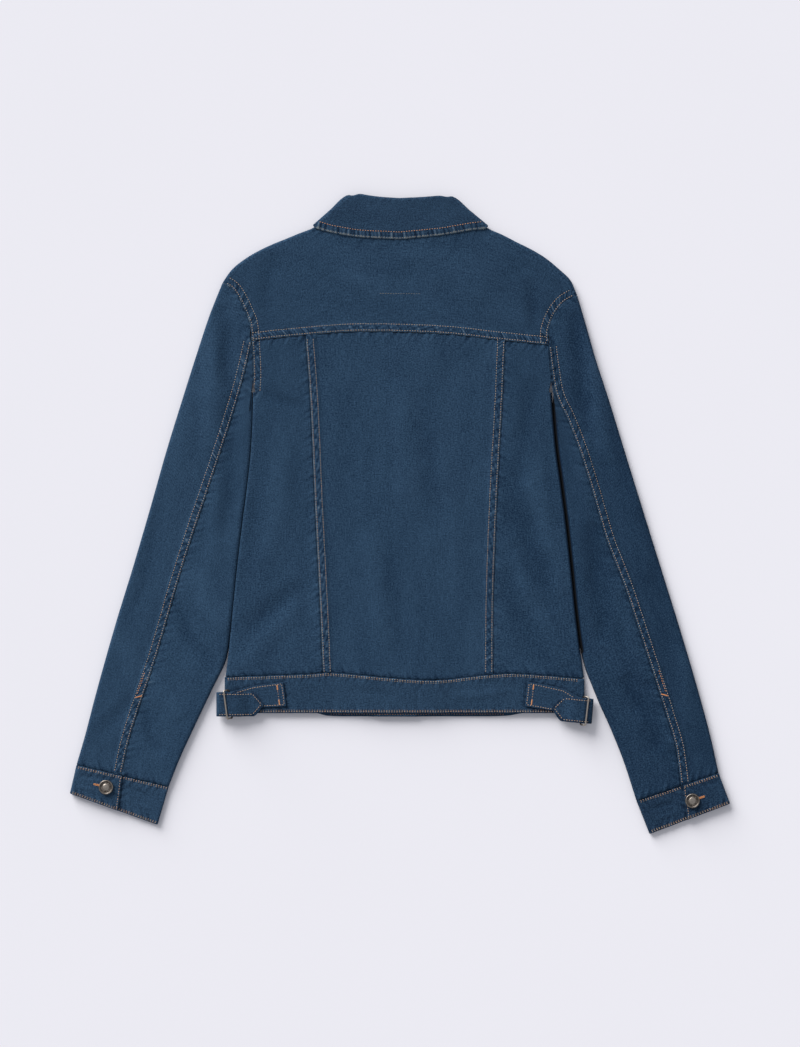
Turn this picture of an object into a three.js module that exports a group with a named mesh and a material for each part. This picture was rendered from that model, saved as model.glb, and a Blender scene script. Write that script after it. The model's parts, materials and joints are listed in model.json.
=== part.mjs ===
// A blue denim jacket, buttoned and laid flat on its front, so its back faces up.
// Millimetres, +Z up. The origin is on the surface it lies on, under the middle of its outline.
// +Y runs from hem to collar, and -X is the wearer's left.
import * as THREE from 'three';

// Cloth, seams and the heights of the layers
const CLOTH = 1.2;            // one layer of denim
const SEAM_GAP = 0.3;         // between pieces that are sewn edge to edge
const FELL_WIDTH = 9.5;       // flat-felled seam, from its edge to where it thins out
const FELL_RAISE = 0.7;       // how far such a seam stands above the cloth beside it
const SIDE_HEIGHT = 6.0;      // top of the laid jacket near its sides
const CENTRE_RISE = 1.05;     // extra height over the button strip and the neck
const SLEEVE_HEIGHT = 6.2;
const UNDER_LIFT = 2.55;      // how far buttons and collar hold the fronts off the surface
const LIFT_RAMP = 24;         // the lift dies away over this distance
const TOP_RAMP = 46;
const COLLAR_MARGIN = 12;     // cloth stays lifted this far round the collar
const PLACKET_HALF = 20;      // the fronts overlap this far past the middle
const OVERLAP_RAMP = 15;      // the upper front climbs over the lower one within this distance
const SEAM_UNDER = 10;        // side and underarm seams lie this far under, past the fold
const FLAP = 16;              // the yoke folds this far over the shoulder
const UNDERARM_EXTRA = 8;     // the sleeve's seam lies this much further under than the body's
const ARC_STEPS = 4;

// Waistband, collar, cuffs, buttons and straps
const BAND = 1.8;
const BAND_SIDE_TOP = 6.3;
const BAND_MIDDLE_RISE = 2.25;
const COLLAR_CLOTH = 2.2;
const COLLAR_AXIS_Z = 4.8;    // the collar wraps round the neck about this height
const FALL_OUT = 4.8;
const STAND_IN = 0.2;
const STAND_LENGTH = 30;
const ROLL_INNER = 0.12;      // least radius inside the collar's roll
const COLLAR_CLEAR = 0.35;
const COLLAR_CORNER_RISE = 4; // the roll climbs this much as it turns from the side to the back
const CUFF = 2.0;
const CUFF_FLAP_TOP = 7.7;
const CUFF_LOW_TOP = 5.4;
const BUTTON_DIAMETER = 17;
const FRONT_BUTTON_DEPTH = 2.25;
const FRONT_BUTTON_Y = [222, 138, 54, -30, -114, -209];
const STRAP = 1.3;
const STRAP_LOW = 3.1;        // height of the pointed strap where it leaves the band's side
const STRAP_BEND = 4.4;       // radius of its fold there
const WIRE = 2.0;             // slider wire

// Where the body meets the sleeves: the folded side edges, from armpit to waist
const SIDE_LINE = [
  { y: 142, left: -172.0, right: 177.3 },
  { y: 116, left: -172.5, right: 179.0 },
  { y: 78, left: -174.3, right: 182.4 },
  { y: 37, left: -178.4, right: 188.0 },
  { y: -9, left: -184.3, right: 194.0 },
  { y: -63, left: -190.7, right: 200.0 },
  { y: -115, left: -196.0, right: 205.4 },
  { y: -160, left: -200.3, right: 210.8 },
  { y: -191, left: -204.0, right: 215.0 },
];
const SLEEVE_CLEAR = { left: 0.6, right: 1.7 };

// Seams of the back
const YOKE_SEAM = [
  { x: -174, y: 202.4 }, { x: -117, y: 208.3 }, { x: -58, y: 212.6 }, { x: 0, y: 212.4 },
  { x: 58, y: 209.7 }, { x: 117, y: 203.2 }, { x: 174, y: 197.4 },
];
const PRINCESS_SEAM = [
  { y: 212, left: -110.5, right: 123.0 },
  { y: 133, left: -104.7, right: 119.7 },
  { y: 16, left: -99.5, right: 113.3 },
  { y: -100, left: -93.6, right: 109.2 },
  { y: -194, left: -89.5, right: 108.5 },
];
const WAIST_SEAM = [
  { x: -206, y: -190.5 }, { x: -100, y: -186.6 }, { x: -84, y: -185.0 }, { x: 35, y: -194.0 },
  { x: 100, y: -188.0 }, { x: 134, y: -186.2 }, { x: 216, y: -192.5 },
];
const WAIST_ENDS = { left: -204.9, right: 215.6 };
const HEM_Y = -232.5;
const FRONT_HEM_DROP = 4;
const FRONT_HEM = { from: -90, to: 130 };

// Shoulder outlines from the sleeve seam to the collar, and armholes from shoulder to armpit
const SHOULDER = {
  left: [[-207.4, 270.3], [-198.9, 283.1], [-182.5, 297.2], [-158, 311.2], [-124, 325.3], [-111, 330.4]],
  right: [[207.1, 255.5], [201.4, 270.3], [184.9, 287.0], [162.6, 304.2], [128, 321.8], [112.5, 329.8]],
};
const ARMHOLE = {
  left: [[-194.9, 262.5], [-185.4, 247], [-179.5, 234], [-175.3, 223.1], [-173.0, 201.7], [-171.4, 165]],
  right: [[189.5, 245.7], [178.6, 229.8], [173.2, 214], [173.4, 197.6], [175.2, 165]],
};
const ARMHOLE_ROWS = { yoke: 5, side: 4 };
const SEAM_ROW_Y = { left: 202.4, right: 197.4 };

// Sleeve sections: outer edge, inner edge, and how far across the back seam lies
const SLEEVE = {
  left: [
    { outX: -207.4, outY: 270.3, inX: -172.6, inY: 142, seam: 0.5 },
    { outX: -222.3, outY: 232.9, inX: -173.1, inY: 116, seam: 0.65 },
    { outX: -237.5, outY: 187.2, inX: -174.9, inY: 78, seam: 0.646 },
    { outX: -252.7, outY: 139.3, inX: -179.0, inY: 37, seam: 0.613 },
    { outX: -272.6, outY: 74.9, inX: -184.9, inY: -9, seam: 0.555 },
    { outX: -292.5, outY: 4.7, inX: -191.3, inY: -63, seam: 0.485 },
    { outX: -312.4, outY: -63.2, inX: -196.6, inY: -115, seam: 0.438 },
    { outX: -331.1, outY: -124, inX: -203.6, inY: -167, seam: 0.418 },
    { outX: -345.2, outY: -173.1, inX: -221.1, inY: -208.2, seam: 0.428 },
    { outX: -358.0, outY: -219.9, inX: -241.6, inY: -251.5, seam: 0.431 },
    { outX: -368.0, outY: -258.5, inX: -257.4, inY: -286, seam: 0.447 },
  ],
  right: [
    { outX: 207.1, outY: 255.5, inX: 179.0, inY: 142, seam: 0.5 },
    { outX: 217.6, outY: 220.0, inX: 180.7, inY: 116, seam: 0.76 },
    { outX: 229.3, outY: 179.0, inX: 184.1, inY: 78, seam: 0.69 },
    { outX: 243.4, outY: 135.7, inX: 189.7, inY: 37, seam: 0.632 },
    { outX: 262.1, outY: 74.9, inX: 195.7, inY: -9, seam: 0.569 },
    { outX: 283.1, outY: 7.0, inX: 201.7, inY: -63, seam: 0.516 },
    { outX: 304.2, outY: -60.8, inX: 207.1, inY: -115, seam: 0.427 },
    { outX: 322.9, outY: -120.5, inX: 215.9, inY: -174, seam: 0.383 },
    { outX: 338.1, outY: -170.8, inX: 229.3, inY: -212.9, seam: 0.379 },
    { outX: 352.2, outY: -219.9, inX: 246.9, inY: -252.7, seam: 0.388 },
    { outX: 363.3, outY: -262.0, inX: 260.9, inY: -287.8, seam: 0.395 },
  ],
};
const CAP_FADE = [1, 0.5, 0.16];   // how much of the armhole's curve the first sections keep

// Cuffs: corners on the sleeve side and on the open side, and how far across the flap ends on each side
const CUFFS = {
  left: {
    outTop: [-378.0, -293.0], inTop: [-270.2, -318.4], outEnd: [-385.6, -326.2], inEnd: [-283.4, -363.0],
    flap: [0.5, 0.55], underEnd: 0.25, button: [-342.8, -318.6], sleeveSeam: 0.485,
  },
  right: {
    outTop: [372.3, -302.6], inTop: [276.2, -334.9], outEnd: [385.6, -338.0], inEnd: [291.6, -373.8],
    flap: [0.44, 0.53], underEnd: 0.22, button: [341.0, -334.4], sleeveSeam: 0.455,
  },
};

// Collar: corner of the roll, where its edge meets the shoulder, its point, and the front end of the roll
const COLLAR = {
  left: {
    rollCorner: [-62, 372.8], edgeCorner: [-102, 337.5], point: [-56, 229], frontRoll: [-3.6, 259.6],
    roll: [[-50, 373.9], [-24, 370.4]], edge: [[-82, 328.9], [-47, 323.0]],
  },
  right: {
    rollCorner: [61.5, 371.4], edgeCorner: [103.3, 336.9], point: [56, 229], frontRoll: [3.6, 259.6],
    roll: [[49, 371.6], [24, 370.0]], edge: [[82, 331.0], [47, 325.2]],
  },
};
const COLLAR_MIDDLE = { roll: [0, 368.9], edge: [0, 320.8] };
const COLLAR_BACK_STEPS = 12;
const COLLAR_TURN_STEPS = 5;
const COLLAR_FRONT_STEPS = 5;

// Waist tabs: the strap sewn along the band, the pointed strap and the slider between them
const TABS = {
  left: {
    side: -1, slider: [-201.0, -222.0], barLean: 0.13, strapLean: 0.0,
    sewn: [{ u: 67.4, v: 3.1, half: 14.2 }, { u: 32.3, v: 4.2, half: 13.0 }, { u: 3.5, v: 0.4, half: 13.6 }],
    fold: -13.4, shoulder: 29.5, tip: 42.0, half: 14.0,
  },
  right: {
    side: 1, slider: [215.5, -229.5], barLean: 0.115, strapLean: 0.08,
    sewn: [{ u: 70, v: 11.5, half: 14.4 }, { u: 28, v: 8.5, half: 13.6 }, { u: 3.5, v: 0.5, half: 14.0 }],
    fold: -9.4, shoulder: 25.5, tip: 38.5, half: 14.4,
  },
};
const SLIDER = { length: 33, lowU: 3.3, lowZ: 9.2, highU: -2.3, highZ: 14.0 };

// Largest folds: a soft ridge or trough from one end to the other, its half width and height
const BODY_FOLDS = [
  { x1: 26, y1: 120, x2: 38, y2: 10, width: 24, height: -0.9 },
  { x1: 6, y1: 130, x2: 12, y2: 20, width: 26, height: 0.7 },
  { x1: -16, y1: -40, x2: 0, y2: -140, width: 20, height: -0.5 },
  { x1: -34, y1: -50, x2: -22, y2: -160, width: 22, height: 0.7 },
  { x1: 126, y1: 40, x2: 168, y2: -92, width: 22, height: -1.2 },
  { x1: 142, y1: 60, x2: 186, y2: -70, width: 20, height: 0.8 },
  { x1: 122, y1: -80, x2: 160, y2: -165, width: 20, height: -1.0 },
  { x1: 130, y1: -60, x2: 184, y2: -160, width: 18, height: 0.9 },
  { x1: -122, y1: -60, x2: -174, y2: -130, width: 24, height: -0.9 },
  { x1: -120, y1: -96, x2: -178, y2: -164, width: 20, height: 0.8 },
  { x1: -152, y1: 134, x2: -120, y2: 128, width: 14, height: -0.7 },
  { x1: -140, y1: 90, x2: -150, y2: -20, width: 22, height: 0.7 },
  { x1: 150, y1: 130, x2: 142, y2: 60, width: 20, height: -0.7 },
  { x1: -60, y1: 284, x2: -20, y2: 262, width: 22, height: 0.5 },
  { x1: 150, y1: 262, x2: 158, y2: 222, width: 14, height: -0.9 },
];
const SLEEVE_FOLDS = {
  left: [
    { x1: -203, y1: 224, x2: -197, y2: 120, width: 17, height: -1.3 },
    { x1: -197, y1: 110, x2: -202, y2: 0, width: 18, height: -1.1 },
    { x1: -222, y1: 205, x2: -226, y2: 90, width: 20, height: 0.9 },
    { x1: -262, y1: -118, x2: -222, y2: -178, width: 16, height: -1.2 },
    { x1: -240, y1: -84, x2: -208, y2: -130, width: 22, height: 1.1 },
    { x1: -300, y1: -236, x2: -284, y2: -268, width: 15, height: -0.9 },
    { x1: -330, y1: -140, x2: -300, y2: -196, width: 20, height: 0.7 },
  ],
  right: [
    { x1: 206, y1: 214, x2: 214, y2: 110, width: 16, height: -1.1 },
    { x1: 226, y1: 190, x2: 238, y2: 80, width: 20, height: 0.9 },
    { x1: 226, y1: -40, x2: 236, y2: -130, width: 18, height: -1.0 },
    { x1: 252, y1: -96, x2: 284, y2: -180, width: 20, height: 0.8 },
    { x1: 268, y1: -206, x2: 300, y2: -262, width: 18, height: -1.0 },
    { x1: 328, y1: -170, x2: 336, y2: -236, width: 18, height: 0.8 },
  ],
};

const DENIM = { color: 0x2c4462, roughness: 0.92, metalness: 0 };
const DENIM_TRIM = { color: 0x2a3f5a, roughness: 0.92, metalness: 0 };
const ANTIQUE_BRASS = { color: 0x8a7a58, roughness: 0.42, metalness: 0.9 };

// Small maths
const lerp = (a, b, t) => a + (b - a) * t;
const clamp01 = (t) => Math.min(1, Math.max(0, t));
const soft = (t) => clamp01(t) ** 2 * (3 - 2 * clamp01(t));
const mix = (p, q, t) => p.map((value, k) => lerp(value, q[k], t));
const shift = (p, n, d) => [p[0] + n[0] * d, p[1] + n[1] * d];
const unit = (v) => v.map((value) => value / Math.hypot(...v));
const direction = (p, q) => unit([q[0] - p[0], q[1] - p[1]]);
const sideOf = (x) => (x < 0 ? 'left' : 'right');
const signOf = (side) => (side === 'left' ? -1 : 1);
const steps = (count) => Array.from({ length: count + 1 }, (_, k) => k / count);

// Value of one column of a table, looked up by another and smoothed between the rows
function lookUp(table, key, at, column) {
  const rising = table[0][key] < table[table.length - 1][key];
  const rows = rising ? table : [...table].reverse();
  let k = 1;
  while (k < rows.length - 1 && rows[k][key] < at) {
    k += 1;
  }
  const slope = (i) => {
    const before = rows[Math.max(0, i - 1)];
    const after = rows[Math.min(rows.length - 1, i + 1)];
    return (after[column] - before[column]) / (after[key] - before[key]);
  };
  const span = rows[k][key] - rows[k - 1][key];
  const t = clamp01((at - rows[k - 1][key]) / span);
  const beyond = at - rows[k - 1][key] - t * span;
  const start = rows[k - 1][column];
  const end = rows[k][column];
  const [early, late] = [slope(k - 1) * span - (end - start), end - start - slope(k) * span];
  const bend = t * (1 - t) * ((1 - t) * early + t * late);
  return lerp(start, end, t) + bend + beyond * slope(t > 0.5 ? k : k - 1);
}

function distanceToLine(x, y, p, q) {
  const dx = q[0] - p[0];
  const dy = q[1] - p[1];
  const along = clamp01(((x - p[0]) * dx + (y - p[1]) * dy) / (dx * dx + dy * dy));
  return Math.hypot(x - p[0] - along * dx, y - p[1] - along * dy);
}

function foldHeight(folds, x, y) {
  let sum = 0;
  for (const fold of folds) {
    const d = distanceToLine(x, y, [fold.x1, fold.y1], [fold.x2, fold.y2]);
    sum += fold.height * soft(1 - d / fold.width);
  }
  return sum;
}

// Climb of whatever lies on top where the fronts overlap, for a layer of this height
const overlapClimb = (x, height) => height * soft((x + PLACKET_HALF + 2 + OVERLAP_RAMP) / OVERLAP_RAMP);

// How far a place lies outside the button strip and the collar, which hold the cloth up
function outsideRaised(x, y) {
  const strip = Math.abs(x) - (PLACKET_HALF + 2);
  const { edgeCorner, point, frontRoll, rollCorner } = COLLAR[sideOf(x)];
  const edges = [[rollCorner, edgeCorner], [edgeCorner, point], [point, frontRoll]];
  const nearest = Math.min(...edges.map(([p, q]) => distanceToLine(x, y, p, q)));
  const wide = lerp(point[0], edgeCorner[0], (y - point[1]) / (edgeCorner[1] - point[1]));
  const low = lerp(point[1], frontRoll[1], (x - point[0]) / (frontRoll[0] - point[0]));
  const inside = Math.abs(x) < Math.abs(wide) && y > low;
  return Math.max(0, Math.min(strip, inside ? 0 : nearest - COLLAR_MARGIN));
}
const underLift = (x, y) => UNDER_LIFT * soft(1 - outsideRaised(x, y) / LIFT_RAMP);
const bodyTop = (x, y) => SIDE_HEIGHT + CENTRE_RISE * soft(1 - outsideRaised(x, y) / TOP_RAMP);

// Surface points: a place and the way it faces
function topPoint(p, raise = 0) {
  const z = bodyTop(p[0], p[1]) + foldHeight(BODY_FOLDS, p[0], p[1]) + raise;
  return { at: [p[0], p[1], z], out: [0, 0, 1] };
}
const underPoint = (p, extra = 0) => ({ at: [p[0], p[1], underLift(p[0], p[1]) + extra], out: [0, 0, -1] });

// A half turn round an edge, from its top layer down to its under layer
function foldRound(edge, normal, topZ, underZ, count = ARC_STEPS) {
  const radius = (topZ - underZ) / 2;
  const middle = shift(edge, normal, -radius);
  return steps(count).map((t) => {
    const angle = Math.PI * (0.5 - t);
    const reach = Math.cos(angle);
    const p = shift(middle, normal, radius * reach);
    return {
      at: [p[0], p[1], underZ + radius + radius * Math.sin(angle)],
      out: [normal[0] * reach, normal[1] * reach, Math.sin(angle)],
    };
  });
}

// A closed wall between a sheet's outer points and the same points moved in by its thickness.
// Cells for which present says no are left out, and every open side gets a rim.
function wallOf(outer, inner, present = () => true) {
  const rows = outer.length;
  const columns = outer[0].length;
  const positions = [];
  const number = (i, j, layer) => (i * columns + j) * 2 + layer;
  for (let i = 0; i < rows; i += 1) {
    for (let j = 0; j < columns; j += 1) {
      positions.push(...outer[i][j], ...inner[i][j]);
    }
  }
  const has = (i, j) => i >= 0 && j >= 0 && i < rows - 1 && j < columns - 1 && present(i, j);
  const index = [];
  const quad = (a, b, c, d) => index.push(a, b, c, a, c, d);
  for (let i = 0; i < rows - 1; i += 1) {
    for (let j = 0; j < columns - 1; j += 1) {
      if (!has(i, j)) continue;
      const ring = [[i, j], [i, j + 1], [i + 1, j + 1], [i + 1, j]];
      const [a, b, c, d] = ring.map(([r, s]) => number(r, s, 0));
      const [e, f, g, h] = ring.map(([r, s]) => number(r, s, 1));
      quad(a, b, c, d);
      quad(e, h, g, f);
      if (!has(i - 1, j)) quad(b, a, e, f);
      if (!has(i, j + 1)) quad(c, b, f, g);
      if (!has(i + 1, j)) quad(d, c, g, h);
      if (!has(i, j - 1)) quad(a, d, h, e);
    }
  }
  return closedGeometry(positions, index);
}

// A geometry with its faces turned outwards and its unused points dropped
function closedGeometry(positions, index) {
  const p = (k) => positions.slice(k * 3, k * 3 + 3);
  let volume = 0;
  for (let k = 0; k < index.length; k += 3) {
    const [a, b, c] = [p(index[k]), p(index[k + 1]), p(index[k + 2])];
    volume += a[0] * (b[1] * c[2] - b[2] * c[1]) - a[1] * (b[0] * c[2] - b[2] * c[0])
      + a[2] * (b[0] * c[1] - b[1] * c[0]);
  }
  const faces = volume > 0 ? index : index.reverse();
  const used = new Map();
  const kept = [];
  const renumbered = faces.map((old) => {
    if (!used.has(old)) {
      used.set(old, used.size);
      kept.push(...p(old));
    }
    return used.get(old);
  });
  const geometry = new THREE.BufferGeometry();
  geometry.setAttribute('position', new THREE.Float32BufferAttribute(kept, 3));
  geometry.setIndex(renumbered);
  geometry.computeVertexNormals();
  return geometry;
}

function sheet(grid, thickness, present) {
  const outer = grid.map((row) => row.map((point) => point.at));
  const inner = grid.map((row) => row.map(({ at, out }) => at.map((value, k) => value - out[k] * thickness)));
  return wallOf(outer, inner, present);
}

const jacket = new THREE.Group();
function add(name, geometry, finish) {
  const mesh = new THREE.Mesh(geometry, new THREE.MeshStandardMaterial(finish));
  mesh.name = name;
  jacket.add(mesh);
}

const splineOf = (points) => new THREE.SplineCurve(points.map((p) => new THREE.Vector2(...p)));

// The way that the folded side of the collar faces
function neckNormal(side) {
  const down = direction(COLLAR[side].rollCorner, COLLAR[side].edgeCorner);
  const sign = -signOf(side);
  return [down[1] * sign, -down[0] * sign];
}

// Collar sections: a place on the roll, the way down to the edge, the length of the fall, and the turn
// of the section, from facing up at the back to facing down at the front
function collarSections(side) {
  const { edgeCorner, rollCorner, point, frontRoll } = COLLAR[side];
  const normal = neckNormal(side);
  const corner = shift(rollCorner, normal, -FALL_OUT);
  const edge = shift(edgeCorner, normal, -FALL_OUT);
  const backStart = shift(corner, direction(edge, corner), COLLAR_CORNER_RISE);
  const sections = [];
  for (const t of steps(COLLAR_FRONT_STEPS)) {
    const start = mix(frontRoll, corner, t);
    const end = mix(point, edge, t);
    sections.push({ start, end, turn: -Math.PI / 2, normal });
  }
  for (const t of steps(COLLAR_TURN_STEPS).slice(1)) {
    const start = mix(corner, backStart, Math.max(0, 2 * t - 1));
    sections.push({ start, end: edge, turn: Math.PI * (t - 0.5), normal });
  }
  const rollLine = splineOf([backStart, ...COLLAR[side].roll, COLLAR_MIDDLE.roll]);
  const edgeLine = splineOf([edge, ...COLLAR[side].edge, COLLAR_MIDDLE.edge]);
  for (const t of steps(COLLAR_BACK_STEPS / 2).slice(1)) {
    const start = rollLine.getPointAt(t).toArray();
    const end = edgeLine.getPointAt(t).toArray();
    sections.push({ start, end, turn: Math.PI / 2, normal });
  }
  return sections;
}

const collarLeft = collarSections('left');
const collarRight = collarSections('right');
const sideCount = COLLAR_FRONT_STEPS + COLLAR_TURN_STEPS;

function standEnd(section, beyond = 0) {
  return shift(section.start, direction(section.start, section.end), STAND_LENGTH + beyond);
}

function collar() {
  const sections = [...collarLeft, ...collarRight.slice(0, -1).reverse()];
  const outer = [];
  const inner = [];
  const rollRadius = (FALL_OUT - STAND_IN) / 2;
  for (const { start, end, turn, normal } of sections) {
    const along = direction(start, end);
    const fall = Math.hypot(end[0] - start[0], end[1] - start[1]);
    const place = (v, w) => {
      const p = shift(shift(start, along, v), normal, w * Math.cos(turn));
      return [p[0], p[1], COLLAR_AXIS_Z + w * Math.sin(turn)];
    };
    const middle = STAND_IN + rollRadius;
    const turnPoints = (radius) => steps(4).map((t) => {
      const angle = Math.PI * (0.5 - t);
      return place(rollRadius - radius * Math.cos(angle), middle + radius * Math.sin(angle));
    });
    const thin = rollRadius - COLLAR_CLOTH;
    outer.push([
      place(fall, FALL_OUT), place(fall / 2, FALL_OUT), ...turnPoints(rollRadius),
      place(STAND_LENGTH, STAND_IN),
    ]);
    inner.push([
      place(fall, FALL_OUT - COLLAR_CLOTH), place(fall / 2, FALL_OUT - COLLAR_CLOTH),
      ...turnPoints(Math.max(thin, ROLL_INNER)), place(STAND_LENGTH, STAND_IN + COLLAR_CLOTH - 0.1),
    ]);
  }
  add('collar', wallOf(outer, inner), DENIM_TRIM);
}

// Shoulder edge of one side, from the sleeve seam to the neck, under the collar at its end
function shoulderCurve(side) {
  const { rollCorner, edgeCorner } = COLLAR[side];
  const down = direction(rollCorner, edgeCorner);
  const normal = neckNormal(side);
  const inset = FALL_OUT - (bodyTop(0, 300) - UNDER_LIFT) / 2 + COLLAR_CLEAR;
  const neck = shift(shift(rollCorner, down, STAND_LENGTH + SEAM_GAP), normal, -inset);
  const corner = shift(shift(edgeCorner, down, 1), normal, -inset);
  return { outside: splineOf([...SHOULDER[side], corner]), corner, neck };
}

const SHOULDER_STEPS = 9;
function shoulderPlaces(side) {
  const { outside, corner, neck } = shoulderCurve(side);
  const sign = -signOf(side);
  const free = steps(SHOULDER_STEPS - 2).slice(0, -1).map((t) => {
    const tangent = outside.getTangentAt(t).toArray();
    return { at: outside.getPointAt(t).toArray(), tangent, normal: [-tangent[1] * sign, tangent[0] * sign] };
  });
  const tangent = direction(corner, neck);
  const normal = neckNormal(side);
  const covered = [corner, mix(corner, neck, 0.5), neck].map((at) => ({ at, tangent, normal }));
  return [...free, ...covered];
}

// Where the yoke's turned-under edge ends: square to the shoulder, and along the neck seam at the neck
function flapEnd(side, k, beyond) {
  const { at, normal } = shoulderPlaces(side)[k];
  const middle = shift(at, normal, (underLift(...at) - bodyTop(...at)) / 2);
  if (k < SHOULDER_STEPS) {
    return shift(middle, normal, -FLAP - beyond);
  }
  const sections = side === 'left' ? collarLeft : collarRight;
  const [low, high] = sections.slice(COLLAR_FRONT_STEPS - 1).map((section) => standEnd(section, SEAM_GAP));
  return shift(middle, direction(high, low), FLAP + beyond);
}

// Armhole of one side, from the shoulder to the armpit. The body keeps to one side of the curve and the
// sleeve to the other, and both draw back at the armpit, where their folded edges start.
const SHOULDER_FOLD = SIDE_HEIGHT / 2;
function armholePlaces(side) {
  const sign = signOf(side);
  const first = shoulderPlaces(side)[0];
  const top = shift(first.at, first.normal, -SHOULDER_FOLD);
  const row = SIDE_LINE[0];
  const end = [row[side] + sign * SLEEVE_CLEAR[side] / 2, row.y];
  const points = [top, ...ARMHOLE[side], end].map((p) => new THREE.Vector2(...p));
  const curve = new THREE.SplineCurve(points);
  let seamAt = 0;
  while (curve.getPointAt(seamAt).y > SEAM_ROW_Y[side]) {
    seamAt += 0.002;
  }
  const share = [
    ...steps(ARMHOLE_ROWS.yoke).map((t) => t * seamAt),
    ...steps(ARMHOLE_ROWS.side).slice(1).map((t) => lerp(seamAt, 1, t)),
  ];
  return share.map((t) => {
    const at = curve.getPointAt(t).toArray();
    const tangent = curve.getTangentAt(t).toArray();
    const toSleeve = [tangent[1] * sign * -1, tangent[0] * sign];
    const widen = t > 0.999 ? 1 : 0;
    const half = SEAM_GAP / 2;
    const body = shift(at, toSleeve, -half);
    const sleeve = shift(at, toSleeve, half);
    body[0] -= sign * widen * (SHOULDER_FOLD + SLEEVE_CLEAR[side] / 2 - half);
    sleeve[0] += sign * widen * (SLEEVE_HEIGHT / 2 + SLEEVE_CLEAR[side] / 2 - half);
    return { body, sleeve };
  });
}

// The yoke: rows from its lower seam to the shoulders, over them and a little way under
function yoke() {
  const shoulders = { left: shoulderPlaces('left'), right: shoulderPlaces('right') };
  const arms = { left: armholePlaces('left'), right: armholePlaces('right') };
  const neckLeft = collarLeft.slice(sideCount + 1);
  const neckRight = collarRight.slice(sideCount + 1, -1).reverse();
  const neck = [...neckLeft, ...neckRight].map((section) => standEnd(section, SEAM_GAP));
  const edge = (side) => shoulders[side].map((place, k) => ({
    ...place,
    at: k === 0 ? shift(place.at, place.tangent, SEAM_GAP / 2) : place.at,
    side,
    k,
  }));
  const rim = [...edge('left'), ...neck.map((at) => ({ at })), ...edge('right').reverse()];
  const seamFrom = arms.left[ARMHOLE_ROWS.yoke].body[0];
  const seamTo = arms.right[ARMHOLE_ROWS.yoke].body[0];
  const levels = [0, 0.06, 0.078, ...steps(ARMHOLE_ROWS.yoke).slice(1)];
  const columns = rim.map((place, j) => {
    const across = j / (rim.length - 1);
    const x = lerp(seamFrom, seamTo, soft(across) * 0.35 + across * 0.65);
    const bottom = [x, lookUp(YOKE_SEAM, 'x', x, 'y') + SEAM_GAP / 2];
    const folded = place.normal !== undefined;
    const upper = bodyTop(...place.at);
    const lower = underLift(...place.at);
    const radius = (upper - lower) / 2;
    const top = folded ? shift(place.at, place.normal, -radius) : place.at;
    const column = levels.map((t) => {
      const raise = t < 0.07 ? FELL_RAISE : 0;
      const p = mix(bottom, top, t);
      const side = across < 0.5 ? 'left' : 'right';
      const bow = bowOfArmhole(arms[side], t);
      const fade = Math.max(0, 1 - (across < 0.5 ? across : 1 - across) / 0.3) ** 2;
      const point = topPoint([p[0] + bow[0] * fade, p[1] + bow[1] * fade], raise);
      if (t === 1) {
        point.at[2] = upper;
      }
      return point;
    });
    if (!folded) {
      const blank = column[column.length - 1];
      return [...column, ...Array(ARC_STEPS + 1).fill(blank)];
    }
    const arc = foldRound(place.at, place.normal, upper, lower);
    const under = place.k === 0 ? arms[place.side][1].body : flapEnd(place.side, place.k, 0);
    return [...column, ...arc.slice(1), underPoint(under)];
  });
  const firstNeck = SHOULDER_STEPS;
  const lastNeck = rim.length - 1 - SHOULDER_STEPS;
  const present = (i, j) => j < levels.length - 1 || i < firstNeck || i >= lastNeck;
  add('back_yoke', sheet(columns, CLOTH, present), DENIM);
}

// How far the armhole bows away from a straight line between the yoke seam and the shoulder
function bowOfArmhole(arm, t) {
  const rows = ARMHOLE_ROWS.yoke;
  const low = arm[rows].body;
  const high = arm[0].body;
  const k = (1 - t) * rows;
  const before = arm[Math.floor(k)].body;
  const after = arm[Math.min(rows, Math.floor(k) + 1)].body;
  const on = mix(before, after, k - Math.floor(k));
  const straight = mix(low, high, t);
  return [on[0] - straight[0], on[1] - straight[1]];
}

// Rows of one side of the body: down the armhole, then down the folded edge to the waist
function sideRows(side) {
  const sign = signOf(side);
  const arm = armholePlaces(side).slice(ARMHOLE_ROWS.yoke);
  const rows = arm.slice(0, -1).map(({ body }) => ({ place: body, folded: false }));
  const waistY = lookUp(WAIST_SEAM, 'x', SIDE_LINE[SIDE_LINE.length - 1][side], 'y') + SEAM_GAP / 2;
  for (const row of SIDE_LINE) {
    const y = Math.max(row.y, waistY);
    const x = lookUp(SIDE_LINE, 'y', y, side);
    rows.push({ place: [x - sign * SHOULDER_FOLD, y], edge: [x, y], folded: true });
  }
  return rows;
}

function princessX(side, y) {
  return lookUp(PRINCESS_SEAM, 'y', y, side);
}

// Height of a row on the princess seam, in step with the rows of the side
function princessRows(side) {
  const sign = signOf(side);
  const rows = sideRows(side);
  const top = rows[0].place[1];
  const low = rows[rows.length - 1].place[1];
  const seamX = princessX(side, top);
  const from = lookUp(YOKE_SEAM, 'x', seamX, 'y') - SEAM_GAP / 2;
  const to = lookUp(WAIST_SEAM, 'x', princessX(side, low), 'y') + SEAM_GAP / 2;
  return rows.map(({ place }) => {
    const y = lerp(from, to, (top - place[1]) / (top - low));
    return [princessX(side, y) + sign * SEAM_GAP / 2, y];
  });
}

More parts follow.
